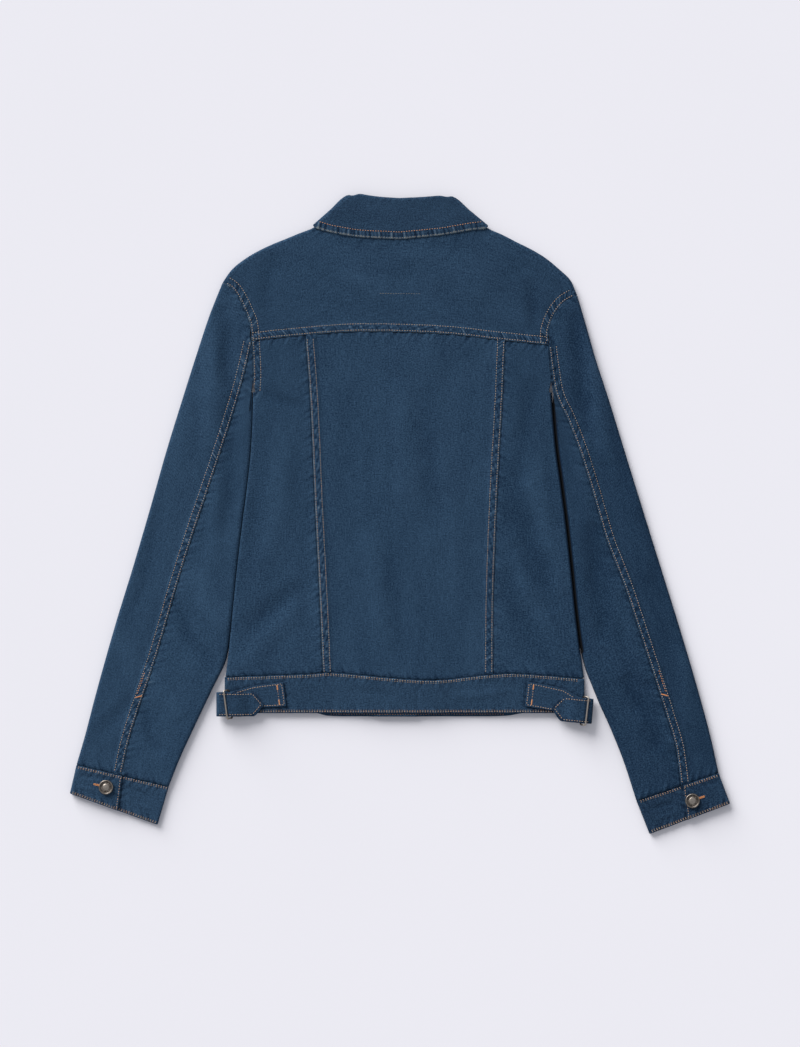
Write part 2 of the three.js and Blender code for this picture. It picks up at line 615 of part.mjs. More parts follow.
function backSide(side) {
  const sign = signOf(side);
  const outerRows = sideRows(side);
  const innerRows = princessRows(side);
  const across = [0, 0.2, 0.4, 0.6, 0.8, 1];
  const grid = outerRows.map((row, i) => {
    const seam = innerRows[i];
    const last = i === outerRows.length - 1;
    const first = i === 0;
    const line = across.map((t) => {
      const p = mix(seam, row.place, t);
      if (first) p[1] = lookUp(YOKE_SEAM, 'x', p[0], 'y') - SEAM_GAP / 2;
      if (last) p[1] = lookUp(WAIST_SEAM, 'x', p[0], 'y') + SEAM_GAP / 2;
      const point = topPoint(p);
      if (t === 1) point.at[2] = SIDE_HEIGHT;
      return point;
    });
    if (!row.folded) {
      return [...line, ...Array(ARC_STEPS + 1).fill(line[line.length - 1])];
    }
    const arc = foldRound(row.edge, [sign, 0], SIDE_HEIGHT, 0);
    const underX = row.place[0] - sign * SEAM_UNDER;
    const underY = last ? lookUp(WAIST_SEAM, 'x', underX, 'y') + SEAM_GAP / 2 : row.edge[1];
    return [...line, ...arc.slice(1), underPoint([underX, underY])];
  });
  const firstFolded = outerRows.findIndex((row) => row.folded);
  const present = (i, j) => j < across.length - 1 || i >= firstFolded;
  add(`back_side_${side}`, sheet(grid, CLOTH, present), DENIM);
}

// The middle panel, with the felled seams raised along both of its long edges
function backCentre() {
  const left = princessRows('left').map((p) => [p[0] + SEAM_GAP, p[1]]);
  const right = princessRows('right').map((p) => [p[0] - SEAM_GAP, p[1]]);
  const grid = left.map((from, i) => {
    const to = right[i];
    const width = to[0] - from[0];
    const fell = FELL_WIDTH / width;
    const thin = (FELL_WIDTH + 2) / width;
    const across = [0, fell, thin, 0.25, 0.4, 0.5, 0.6, 0.75, 1 - thin, 1 - fell, 1];
    return across.map((t, j) => {
      const raised = j < 2 || j > across.length - 3;
      const p = mix(from, to, t);
      if (i === 0) p[1] = lookUp(YOKE_SEAM, 'x', p[0], 'y') - SEAM_GAP / 2;
      if (i === left.length - 1) p[1] = lookUp(WAIST_SEAM, 'x', p[0], 'y') + SEAM_GAP / 2;
      return topPoint(p, raised ? FELL_RAISE : 0);
    });
  });
  add('back_centre', sheet(grid, CLOTH), DENIM);
}

// A front: the under layer, from side seam and armhole to the button strip
function front(side) {
  const sign = signOf(side);
  const stripEdge = side === 'left' ? PLACKET_HALF : -PLACKET_HALF;
  const above = (x) => (side === 'left' ? overlapClimb(x, CLOTH + SEAM_GAP) : 0);
  const arm = armholePlaces(side).slice(1).map(({ body }) => body);
  const shoulder = shoulderPlaces(side).map((_, k) => flapEnd(side, k, SEAM_GAP)).slice(1);
  const sections = (side === 'left' ? collarLeft : collarRight).slice(0, COLLAR_FRONT_STEPS + 1).reverse();
  const neck = sections.slice(1).map((section) => standEnd(section, SEAM_GAP));
  const neckY = neck[neck.length - 1][1] - 0.4;
  const stripSide = sign * (PLACKET_HALF + 2);
  const seamPlace = shift(arm[0], [-sign, -0.15], 5);
  const top = [arm[0], seamPlace, ...shoulder.slice(1), ...neck, [stripSide, neckY], [stripEdge, neckY]];
  const pit = SIDE_LINE[0];
  const pitY = pit.y + SEAM_GAP / 2;
  const seamFrom = (x) => x - sign * (SHOULDER_FOLD + SEAM_UNDER + SEAM_GAP);
  const columns = top.length;
  const rampX = sign * (PLACKET_HALF + 2 + OVERLAP_RAMP);
  const spread = (from, j) => {
    if (j === columns - 1) return stripEdge;
    return j === columns - 2 ? stripSide : lerp(from, rampX, (j - 1) / (columns - 4));
  };
  const pitX = (j) => (j === 0 ? arm[arm.length - 1][0] : spread(seamFrom(pit[side]), j));
  const bottom = top.map((_, j) => [pitX(j), pitY]);
  const grid = arm.map((edge, i) => {
    const t = i / (arm.length - 1);
    return top.map((high, j) => {
      const s = j / (columns - 1);
      const straight = mix(top[0], bottom[0], t);
      const bow = [(edge[0] - straight[0]) * (1 - s) ** 2, (edge[1] - straight[1]) * (1 - s) ** 2];
      const p = mix(high, bottom[j], t);
      return [p[0] + bow[0], p[1] + bow[1]];
    });
  });
  grid[grid.length - 1] = bottom;
  const waistX = SIDE_LINE[SIDE_LINE.length - 1][side];
  const waistY = lookUp(WAIST_SEAM, 'x', waistX, 'y') + SEAM_GAP / 2;
  for (const row of SIDE_LINE.slice(1)) {
    const y = Math.max(row.y, waistY);
    const last = row === SIDE_LINE[SIDE_LINE.length - 1];
    const x = lookUp(SIDE_LINE, 'y', y, side);
    grid.push(top.map((_, j) => {
      const px = spread(seamFrom(x), Math.max(j, 1));
      return [px, last ? lookUp(WAIST_SEAM, 'x', px, 'y') + SEAM_GAP / 2 : y];
    }));
  }
  const points = grid.map((row) => row.map((p) => underPoint(p, above(p[0]))));
  const pitRow = arm.length - 1;
  const present = (i, j) => j > 0 || i < pitRow;
  add(`front_${side}`, sheet(points, CLOTH, present), DENIM);
}

// The last section of a sleeve, along the top of its cuff
function sleeveEnd(side) {
  const { outTop, inTop, sleeveSeam } = CUFFS[side];
  const along = direction(outTop, inTop);
  const up = [along[1] * signOf(side), -along[0] * signOf(side)];
  const out = shift(outTop, up, SEAM_GAP);
  const inward = shift(inTop, up, SEAM_GAP);
  return { outX: out[0], outY: out[1], inX: inward[0], inY: inward[1], seam: sleeveSeam };
}

// Sections of one sleeve, each a line of places across its top and the same line underneath
function sleeveSections(side) {
  const sign = signOf(side);
  const table = [...SLEEVE[side], sleeveEnd(side)];
  const arm = armholePlaces(side).map(({ sleeve }) => sleeve);
  const radius = SLEEVE_HEIGHT / 2;
  const outline = table.map((row) => [row.outX, row.outY]);
  const inline = table.map((row) => [row.inX, row.inY]);
  const firstEdge = shoulderPlaces(side)[0];
  const end = table.length - 1;
  const wrist = direction(outline[end], inline[end]);
  const facing = (line, k, way) => {
    const d = direction(line[k - 1], line[k + 1]);
    return [d[1] * way, -d[0] * way];
  };
  const normalsAt = (i) => {
    if (i === 0) return [firstEdge.normal, [-sign, 0]];
    if (i === end) return [[-wrist[0], -wrist[1]], wrist];
    return [facing(outline, i, -sign), facing(inline, i, sign)];
  };
  return table.map((row, i) => {
    const [outNormal, inNormal] = normalsAt(i);
    const outEdge = i === 0 ? shift(outline[0], firstEdge.tangent, -SEAM_GAP / 2) : outline[i];
    const from = i === 0 ? arm[0] : shift(outEdge, outNormal, -radius);
    const to = i === 0 ? arm[arm.length - 1] : shift(inline[i], inNormal, -radius);
    const width = Math.hypot(to[0] - from[0], to[1] - from[1]);
    return { row, i, outNormal, inNormal, outEdge, inEdge: inline[i], from, to, width, arm };
  });
}

// Place across a section: k counts the armhole's points, and the first sections keep its curve
function placeAcross(section, share, k, sections) {
  const { from, to, i, arm } = section;
  if (i === 0) return arm[k];
  const first = sections[0];
  const chord = [first.to[0] - first.from[0], first.to[1] - first.from[1]];
  const on = [arm[k][0] - first.from[0], arm[k][1] - first.from[1]];
  const t = (chord[0] * on[0] + chord[1] * on[1]) / (chord[0] ** 2 + chord[1] ** 2);
  const bow = [on[0] - chord[0] * t, on[1] - chord[1] * t];
  const keep = CAP_FADE[i] ?? 0;
  return shift(mix(from, to, share), bow, keep);
}

function sleeve(side) {
  const sign = signOf(side);
  const sections = sleeveSections(side);
  const folds = SLEEVE_FOLDS[side];
  const upperCount = ARMHOLE_ROWS.yoke;
  const total = upperCount + ARMHOLE_ROWS.side;
  const topAt = (p, raise, flat) => {
    const z = SLEEVE_HEIGHT + (flat ? 0 : foldHeight(folds, p[0], p[1])) + raise;
    return { at: [p[0], p[1], z], out: [0, 0, 1] };
  };
  const underAt = (p) => ({ at: [p[0], p[1], 0], out: [0, 0, -1] });
  const topRows = [];
  const underRows = [];
  for (const section of sections) {
    const seam = section.row.seam;
    const half = SEAM_GAP / 2 / section.width;
    const fell = FELL_WIDTH / section.width;
    const thin = (FELL_WIDTH + 2) / section.width;
    const armSide = 1 - (SEAM_UNDER + UNDERARM_EXTRA) / section.width;
    const place = (share, k) => placeAcross(section, share, k, sections);
    const aside = section.i === 0 ? sign * SEAM_GAP : 0;
    const last = total - 2;
    const under = steps(last).map((t, k) => underAt(place(armSide * t, k)));
    under[last].at[0] += aside * 1.3;
    const outArc = foldRound(section.outEdge, section.outNormal, SLEEVE_HEIGHT, 0);
    const inArc = foldRound(section.inEdge, section.inNormal, SLEEVE_HEIGHT, 0);
    const seamPlace = place(seam, upperCount);
    const slide = direction(section.from, section.to);
    const upper = steps(upperCount - 1).map((t, k) => place(t * (seam - thin), k));
    const upperLine = [
      ...upper.map((p, k) => topAt(p, 0, k === 0)),
      topAt(shift(seamPlace, slide, -FELL_WIDTH), FELL_RAISE, false),
      topAt(shift(seamPlace, slide, -half * section.width), FELL_RAISE, false),
    ];
    upperLine[upperLine.length - 1].at[0] += aside / 2;
    const lower = steps(ARMHOLE_ROWS.side).map((t, k) => place(lerp(seam, 1, t), upperCount + k));
    lower[0] = shift(seamPlace, slide, half * section.width);
    const lowerLine = lower.map((p, k) => topAt(p, 0, k === lower.length - 1));
    topRows.push([...under.reverse(), ...outArc.reverse().slice(1, -1), ...upperLine]);
    const seamUnder = underAt(shift(place(armSide, last), slide, SEAM_GAP));
    const between = underAt(place((1 + armSide) / 2, total - 1));
    underRows.push([...lowerLine, ...inArc.slice(1), between, seamUnder]);
  }
  add(`sleeve_upper_${side}`, sheet(topRows, CLOTH), DENIM);
  add(`sleeve_lower_${side}`, sheet(underRows, CLOTH), DENIM);
}

// A cuff: one strip round the wrist, from its end under the flap to the flap's edge on top
function cuff(side) {
  const { outTop, inTop, outEnd, inEnd, flap, underEnd } = CUFFS[side];
  const lines = steps(2).map((v) => {
    const out = mix(outTop, outEnd, v);
    const inward = mix(inTop, inEnd, v);
    const slide = direction(out, inward);
    const away = [-slide[0], -slide[1]];
    const low = CUFF_LOW_TOP;
    const high = CUFF_FLAP_TOP;
    const top = (share, z) => ({ at: [...mix(out, inward, share), z], out: [0, 0, 1] });
    const under = (share) => ({ at: [...mix(out, inward, share), 0], out: [0, 0, -1] });
    const inArc = foldRound(inward, slide, low, 0);
    const outArc = foldRound(out, away, high, 0).reverse();
    const flapEdge = lerp(...flap, v);
    return [
      top(underEnd, low), top(flapEdge, low), top(0.75, low), ...inArc,
      under(0.66), under(0.33), ...outArc, top(0.2, high), top(flapEdge, high),
    ];
  });
  add(`cuff_${side}`, sheet(lines, CUFF), DENIM_TRIM);
}

// The waistband: one strip round the waist, its ends overlapping at the middle of the front
const bandTop = (x) => BAND_SIDE_TOP + BAND_MIDDLE_RISE * soft(1 - (Math.abs(x) - 26) / 50);
function waistband() {
  const across = [
    -176, -150, -125, -100, -84, -62, -38, -18, 0, 18, 38, 62, 84, 100, 117, 134, 155, 175, 195,
  ];
  const below = [196, 172, 148, 124, 100, 84, 65, 46, 22, 0];
  const hemDrop = (x) => {
    const middle = (FRONT_HEM.from + FRONT_HEM.to) / 2;
    const half = (FRONT_HEM.to - FRONT_HEM.from) / 2;
    return FRONT_HEM_DROP * soft((half + 12 - Math.abs(x - middle)) / 24);
  };
  const levels = [0, 0.5, 1];
  const topY = (x) => lookUp(WAIST_SEAM, 'x', x, 'y') - SEAM_GAP / 2;
  const grid = levels.map((level) => {
    const top = (x) => ({ at: [x, lerp(topY(x), HEM_Y, level), bandTop(x)], out: [0, 0, 1] });
    const under = (x, extra) => {
      const y = lerp(topY(x), HEM_Y - hemDrop(x), level);
      return { at: [x, y, underLift(x, y) + extra], out: [0, 0, -1] };
    };
    const arc = (side, sign) => {
      const y = lerp(topY(WAIST_ENDS[side]), HEM_Y, level);
      return foldRound([WAIST_ENDS[side], y], [sign, 0], bandTop(150), 0);
    };
    const lifted = (x) => overlapClimb(x, BAND + SEAM_GAP);
    return [
      under(PLACKET_HALF, lifted(PLACKET_HALF)),
      ...below.map((x) => under(-x, lifted(-x))).reverse(),
      ...arc('left', -1).reverse(),
      ...across.map(top),
      ...arc('right', 1),
      ...below.map((x) => under(x, 0)),
      under(-PLACKET_HALF, 0),
    ];
  });
  add('waistband', sheet(grid, BAND), DENIM_TRIM);
}

// A strap of even thickness along a path seen from its side: u along, z up, v and half its width
function strapWall(tab, lean, stations) {
  const inward = [-tab.side * Math.cos(lean), Math.sin(lean)];
  const acrossWay = [-inward[1], inward[0]];
  if (acrossWay[1] < 0) acrossWay.forEach((value, k) => { acrossWay[k] = -value; });
  const normals = stations.map((_, k) => {
    const a = stations[Math.max(0, k - 1)];
    const b = stations[Math.min(stations.length - 1, k + 1)];
    const [du, dz] = unit([b.u - a.u, b.z - a.z]);
    return [-dz, du];
  });
  const place = (u, v, z) => {
    const p = shift(shift(tab.slider, inward, u), acrossWay, v);
    return [p[0], p[1], z];
  };
  const side = (way) => stations.map(({ u, z, v, half }, k) => [-1, 1].map((edge) => place(
    u + normals[k][0] * way * STRAP / 2, v + edge * half, z + normals[k][1] * way * STRAP / 2,
  )));
  return wallOf(side(1), side(-1));
}

// Half turn of a strap round something thin, seen from its side
function turnAround(u, z, radius, from, to, rest, count = 6) {
  return steps(count).map((t) => {
    const angle = lerp(from, to, t);
    return { u: u + radius * Math.cos(angle), z: z + radius * Math.sin(angle), ...rest };
  });
}

function waistTab(side) {
  const tab = TABS[side];
  const restZ = BAND_SIDE_TOP + SEAM_GAP + STRAP / 2;
  const { lowU, lowZ, highU, highZ, length } = SLIDER;
  const [start, middle, near] = tab.sewn;
  const width = { v: near.v, half: near.half };
  const sewn = [
    { u: start.u, z: restZ, v: start.v, half: start.half },
    { u: middle.u, z: restZ, v: middle.v, half: middle.half },
    ...turnAround(lowU, lowZ, lowZ - restZ, -Math.PI / 2, -1.5 * Math.PI, width),
    { u: lowU + 6, z: 2 * lowZ - restZ - 0.5, ...width },
    { u: lowU + 11, z: restZ + STRAP + SEAM_GAP, ...width },
    { u: lowU + 15, z: restZ + STRAP + SEAM_GAP, ...width },
  ];
  add(`tab_sewn_${side}`, strapWall(tab, tab.barLean, sewn), DENIM_TRIM);

  const over = 2 * lowZ - restZ + STRAP + SEAM_GAP;
  const second = restZ + STRAP + SEAM_GAP + 0.1;
  const full = { v: 0, half: tab.half };
  const foldU = tab.fold + STRAP_BEND + STRAP / 2;
  const pointed = [
    { u: tabStart(tab, side), z: STRAP_LOW, ...full },
    ...turnAround(foldU, STRAP_LOW + STRAP_BEND, STRAP_BEND, -Math.PI / 2, -1.5 * Math.PI, full),
    { u: -1.6, z: STRAP_LOW + 2 * STRAP_BEND - 0.3, ...full },
    { u: 1.6, z: over, ...full },
    { u: lowU + 6.5, z: over, ...full },
    { u: lowU + 16.5, z: second + STRAP + SEAM_GAP, ...full },
    { u: lowU + 21, z: second + 0.2, ...full },
    { u: tab.shoulder, z: second, ...full },
    { u: tab.tip, z: second, v: 0, half: 0.8 },
  ];
  add(`tab_pointed_${side}`, strapWall(tab, tab.strapLean, pointed), DENIM_TRIM);

  add(`slider_${side}`, sliderRing(tab, length, [lowU, lowZ], [highU, highZ]), ANTIQUE_BRASS);
}

// Where the pointed strap leaves the side of the waistband
const tabStart = (tab, side) => tab.side * (tab.slider[0] - WAIST_ENDS[side]) - 0.6;

// The slider: a wire bent to a long closed loop, tilted so that its outer bar lies over the strap
function sliderRing(tab, length, low, high) {
  const inward = [-tab.side * Math.cos(tab.barLean), Math.sin(tab.barLean)];
  const along = [tab.side * Math.sin(tab.barLean), Math.cos(tab.barLean)];
  const tilt = unit([low[0] - high[0], low[1] - high[1]]);
  const width = Math.hypot(low[0] - high[0], low[1] - high[1]);
  const corner = 1.6;
  const path = [];
  for (const [cx, cy, start] of [
    [width / 2 - corner, length / 2 - corner, 0], [corner - width / 2, length / 2 - corner, 0.5],
    [corner - width / 2, corner - length / 2, 1], [width / 2 - corner, corner - length / 2, 1.5],
  ]) {
    for (const t of steps(3)) {
      const angle = Math.PI * (start + t / 2);
      path.push({ s: cx + corner * Math.cos(angle), t: cy + corner * Math.sin(angle), angle });
    }
  }
  const middle = [(low[0] + high[0]) / 2, (low[1] + high[1]) / 2];
  const sides = 8;
  const positions = [];
  for (const { s, t, angle } of path) {
    for (let k = 0; k < sides; k += 1) {
      const turn = (2 * Math.PI * k) / sides;
      const outward = (WIRE / 2) * Math.cos(turn);
      const lift = (WIRE / 2) * Math.sin(turn);
      const a = s + outward * Math.cos(angle);
      const b = t + outward * Math.sin(angle);
      const u = middle[0] + a * tilt[0] - lift * tilt[1];
      const z = middle[1] + a * tilt[1] + lift * tilt[0];
      const p = shift(shift(tab.slider, inward, u), along, b);
      positions.push(p[0], p[1], z);
    }
  }
  const index = [];
  path.forEach((_, i) => {
    for (let k = 0; k < sides; k += 1) {
      const next = (i + 1) % path.length;
      const [a, b] = [i * sides + k, i * sides + ((k + 1) % sides)];
      const [c, d] = [next * sides + ((k + 1) % sides), next * sides + k];
      index.push(a, b, c, a, c, d);
    }
  });
  return closedGeometry(positions, index);
}

// A shank button seen from outside: a rim, a hollow round it and a domed middle
function buttonGeometry(depth, seatRadius, stemDepth) {
  const r = BUTTON_DIAMETER / 2;
  const face = depth - 0.9;
  const profile = [
    [0, 0], [seatRadius, 0], [seatRadius, stemDepth], [r - 0.9, stemDepth], [r, stemDepth + 0.5],
    [r - 0.1, depth - 0.3], [r - 0.9, depth], [r - 1.8, depth - 0.3], [r - 2.6, face],
    [r - 4.6, face + 0.2], [r - 6.4, face + 0.7], [0, depth - 0.05],
  ].map(([radius, z]) => new THREE.Vector2(radius, z));
  const geometry = new THREE.LatheGeometry(profile, 14);
  geometry.rotateX(Math.PI / 2);
  return geometry;
}

function buttons() {
  for (const side of ['left', 'right']) {
    const geometry = buttonGeometry(3.6, 4.5, 1.0);
    geometry.translate(...CUFFS[side].button, CUFF_FLAP_TOP + SEAM_GAP);
    add(`cuff_button_${side}`, geometry, ANTIQUE_BRASS);
  }
  const r = BUTTON_DIAMETER / 2;
  const rounding = 0.6;
  FRONT_BUTTON_Y.forEach((y, k) => {
    const profile = [
      [0, 0], [r - rounding, 0], [r, rounding], [r - 0.2, 1.5], [5, 1.5], [5, FRONT_BUTTON_DEPTH],
      [0, FRONT_BUTTON_DEPTH],
    ].map(([radius, z]) => new THREE.Vector2(radius, z));
    const geometry = new THREE.LatheGeometry(profile, 14);
    geometry.rotateX(Math.PI / 2);
    geometry.translate(0, y, 0);
    add(`front_button_${k + 1}`, geometry, ANTIQUE_BRASS);
  });
}

yoke();
backCentre();
for (const side of ['left', 'right']) {
  backSide(side);
  front(side);
  sleeve(side);
  cuff(side);
  waistTab(side);
}
waistband();
collar();
buttons();

export default jacket;
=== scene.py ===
"""A blue denim jacket, buttoned and laid flat on its front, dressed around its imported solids."""
import json
import math

import bpy
import numpy as np
from mathutils import Matrix, Vector
from mathutils.bvhtree import BVHTree

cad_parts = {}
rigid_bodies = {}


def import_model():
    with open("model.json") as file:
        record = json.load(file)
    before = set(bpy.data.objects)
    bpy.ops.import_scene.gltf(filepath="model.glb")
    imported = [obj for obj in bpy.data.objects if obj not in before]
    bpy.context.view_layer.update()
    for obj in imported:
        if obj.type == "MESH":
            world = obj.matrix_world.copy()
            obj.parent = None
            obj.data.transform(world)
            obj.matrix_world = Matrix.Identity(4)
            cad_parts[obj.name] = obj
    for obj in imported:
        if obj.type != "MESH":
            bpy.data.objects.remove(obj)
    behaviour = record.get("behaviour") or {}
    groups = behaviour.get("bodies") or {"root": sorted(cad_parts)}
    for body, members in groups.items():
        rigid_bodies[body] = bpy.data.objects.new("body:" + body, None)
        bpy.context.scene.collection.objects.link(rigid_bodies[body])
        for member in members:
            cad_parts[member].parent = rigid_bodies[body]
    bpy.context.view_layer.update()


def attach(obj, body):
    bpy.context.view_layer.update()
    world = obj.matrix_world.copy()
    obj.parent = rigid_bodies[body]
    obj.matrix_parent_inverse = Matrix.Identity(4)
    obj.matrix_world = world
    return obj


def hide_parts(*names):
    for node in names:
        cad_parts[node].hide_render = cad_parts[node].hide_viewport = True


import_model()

bl_info = {
    "name": "Denim jacket",
    "version": (1, 0, 0),
    "blender": (4, 5, 0),
    "location": "3D View > Sidebar > Jacket",
    "description": "Dresses a laid-flat denim jacket in shaped cloth, stitches and metal",
    "category": "Object",
}

# Sizes are in millimetres until a mesh is made. +Y runs from hem to collar, and -X is the wearer's left.
MM = 0.001
SIDES = ("left", "right")


def table(columns, *rows):
    """Rows of numbers with named columns."""
    names = columns.split()
    return [dict(zip(names, row)) for row in rows]


# Cloth, seams and the heights of the layers, as in the solids
CLOTH = 1.1
SEAM_GAP = 0.3
FELL_WIDTH = 9.5
FELL_RAISE = 0.7
SIDE_HEIGHT = 6.0
CENTRE_RISE = 1.05
SLEEVE_HEIGHT = 6.2
UNDER_LIFT = 2.55
LIFT_RAMP = 24
TOP_RAMP = 46
COLLAR_MARGIN = 12
PLACKET_HALF = 20
OVERLAP_RAMP = 15
SEAM_UNDER = 10
UNDERARM_EXTRA = 8
FLAP = 16
ARC_STEPS = 4
PRESSED = 0.6            # a fold pressed by a hand: 1 is round, less is flatter with a tighter turn
BAND = 1.8
BAND_SIDE_TOP = 6.3
BAND_MIDDLE_RISE = 2.25
COLLAR_CLOTH = 2.2
COLLAR_AXIS_Z = 4.8
FALL_OUT = 4.8
STAND_IN = 0.2
STAND_LENGTH = 30
ROLL_INNER = 0.12
COLLAR_CLEAR = 0.35
CUFF = 2.0
CUFF_FLAP_TOP = 7.7
CUFF_LOW_TOP = 5.4
STRAP = 1.3
STRAP_LOW = 3.1
STRAP_BEND = 4.4

SIDE_LINE = table(
    "y left right",
    (142, -172.0, 177.3), (116, -172.5, 179.0), (78, -174.3, 182.4), (37, -178.4, 188.0), (-9, -184.3, 194.0),
    (-63, -190.7, 200.0), (-115, -196.0, 205.4), (-160, -200.3, 210.8), (-191, -204.0, 215.0),
)
SLEEVE_CLEAR = {"left": 0.6, "right": 1.7}
YOKE_SEAM = table(
    "x y",
    (-174, 202.4), (-117, 208.3), (-58, 212.6), (0, 212.4), (58, 209.7), (117, 203.2), (174, 197.4),
)
PRINCESS_SEAM = table(
    "y left right",
    (212, -110.5, 123.0), (133, -104.7, 119.7), (16, -99.5, 113.3), (-100, -93.6, 109.2),
    (-194, -89.5, 108.5),
)
WAIST_SEAM = table(
    "x y",
    (-206, -190.5), (-100, -186.6), (-84, -185.0), (35, -194.0), (100, -188.0), (134, -186.2), (216, -192.5),
)
WAIST_ENDS = {"left": -204.9, "right": 215.6}
HEM_Y = -232.5
FRONT_HEM_DROP = 4
FRONT_HEM = {"from": -90, "to": 130}

SHOULDER = {
    "left": [(-207.4, 270.3), (-198.9, 283.1), (-182.5, 297.2), (-158, 311.2), (-124, 325.3), (-111, 330.4)],
    "right": [(207.1, 255.5), (201.4, 270.3), (184.9, 287.0), (162.6, 304.2), (128, 321.8), (112.5, 329.8)],
}
ARMHOLE = {
    "left": [(-194.9, 262.5), (-185.4, 247), (-179.5, 234), (-175.3, 223.1), (-173.0, 201.7), (-171.4, 165)],
    "right": [(189.5, 245.7), (178.6, 229.8), (173.2, 214), (173.4, 197.6), (175.2, 165)],
}
YOKE_ROWS = 5
SIDE_ROWS = 4
SEAM_ROW_Y = {"left": 202.4, "right": 197.4}

SLEEVE = {
    "left": table(
        "out_x out_y in_x in_y seam",
        (-207.4, 270.3, -172.6, 142, 0.5), (-222.3, 232.9, -173.1, 116, 0.65),
        (-237.5, 187.2, -174.9, 78, 0.646), (-252.7, 139.3, -179.0, 37, 0.613),
        (-272.6, 74.9, -184.9, -9, 0.555), (-292.5, 4.7, -191.3, -63, 0.485),
        (-312.4, -63.2, -196.6, -115, 0.438), (-331.1, -124, -203.6, -167, 0.418),
        (-345.2, -173.1, -221.1, -208.2, 0.428), (-358.0, -219.9, -241.6, -251.5, 0.431),
        (-368.0, -258.5, -257.4, -286, 0.447),
    ),
    "right": table(
        "out_x out_y in_x in_y seam",
        (207.1, 255.5, 179.0, 142, 0.5), (217.6, 220.0, 180.7, 116, 0.76),
        (229.3, 179.0, 184.1, 78, 0.69), (243.4, 135.7, 189.7, 37, 0.632),
        (262.1, 74.9, 195.7, -9, 0.569), (283.1, 7.0, 201.7, -63, 0.516),
        (304.2, -60.8, 207.1, -115, 0.427), (322.9, -120.5, 215.9, -174, 0.383),
        (338.1, -170.8, 229.3, -212.9, 0.379), (352.2, -219.9, 246.9, -252.7, 0.388),
        (363.3, -262.0, 260.9, -287.8, 0.395),
    ),
}
CAP_FADE = (1, 0.5, 0.16)
TUCK = {"left": 2.2, "right": 3.4}
SLEEVE_ROOT = 136

CUFFS = {
    "left": dict(
        out_top=(-378.0, -293.0), in_top=(-270.2, -318.4), out_end=(-385.6, -326.2), in_end=(-283.4, -363.0),
        flap=(0.5, 0.55), under_end=0.25, button=(-342.8, -318.6), sleeve_seam=0.485,
    ),
    "right": dict(
        out_top=(372.3, -302.6), in_top=(276.2, -334.9), out_end=(385.6, -338.0), in_end=(291.6, -373.8),
        flap=(0.44, 0.53), under_end=0.22, button=(341.0, -334.4), sleeve_seam=0.455,
    ),
}
COLLAR = {
    "left": dict(
        roll_corner=(-62, 372.8), edge_corner=(-102, 337.5), point=(-56, 229), front_roll=(-3.6, 259.6),
        roll=[(-50, 373.9), (-24, 370.4)], edge=[(-82, 328.9), (-47, 323.0)],
    ),
    "right": dict(
        roll_corner=(61.5, 371.4), edge_corner=(103.3, 336.9), point=(56, 229), front_roll=(3.6, 259.6),
        roll=[(49, 371.6), (24, 370.0)], edge=[(82, 331.0), (47, 325.2)],
    ),
}
COLLAR_MIDDLE = dict(roll=(0, 368.9), edge=(0, 320.8))
COLLAR_BACK_STEPS = 12
COLLAR_TURN_STEPS = 5
COLLAR_FRONT_STEPS = 5
COLLAR_CORNER_RISE = 4
SHOULDER_STEPS = 9

TABS = {
    "left": dict(
        side=-1, slider=(-201.0, -222.0), bar_lean=0.13, strap_lean=0.0,
        sewn=table("u v half", (67.4, 3.1, 14.2), (32.3, 4.2, 13.0), (3.5, 0.4, 13.6)),
        fold=-13.4, shoulder=29.5, tip=42.0, half=14.0,
    ),
    "right": dict(
        side=1, slider=(215.5, -229.5), bar_lean=0.115, strap_lean=0.08,
        sewn=table("u v half", (70, 11.5, 14.4), (28, 8.5, 13.6), (3.5, 0.5, 14.0)),
        fold=-9.4, shoulder=25.5, tip=38.5, half=14.4,
    ),
}
SLIDER = dict(length=33, wire=2.0, low_u=3.3, low_z=9.2, high_u=-2.3, high_z=14.0)


# Small maths
def lerp(a, b, t):
    return a + (b - a) * t


def soft(t):
    t = np.clip(t, 0.0, 1.0)
    return t * t * (3 - 2 * t)


def vec(*values):
    return np.array(values, float)


def shift(p, n, d):
    return np.asarray(p, float)[:2] + np.asarray(n, float)[:2] * d


def mix(p, q, t):
    return lerp(np.asarray(p, float), np.asarray(q, float), t)


def unit(v):
    return np.asarray(v, float) / np.linalg.norm(v)


def direction(p, q):
    return unit(np.asarray(q, float) - np.asarray(p, float))


def sign_of(side):
    return -1 if side == "left" else 1


def steps(count):
    return [k / count for k in range(count + 1)]


def look_up(rows, key, at, column):
    """Value of one column, looked up by another and smoothed between the rows."""
    if rows[0][key] > rows[-1][key]:
        rows = rows[::-1]
    k = 1
    while k < len(rows) - 1 and rows[k][key] < at:
        k += 1

    def slope(i):
        before, after = rows[max(0, i - 1)], rows[min(len(rows) - 1, i + 1)]
        return (after[column] - before[column]) / (after[key] - before[key])

    span = rows[k][key] - rows[k - 1][key]
    t = min(1.0, max(0.0, (at - rows[k - 1][key]) / span))
    beyond = at - rows[k - 1][key] - t * span
    rise = rows[k][column] - rows[k - 1][column]
    bend = t * (1 - t) * ((1 - t) * (slope(k - 1) * span - rise) + t * (rise - slope(k) * span))
    return lerp(rows[k - 1][column], rows[k][column], t) + bend + beyond * slope(k if t > 0.5 else k - 1)


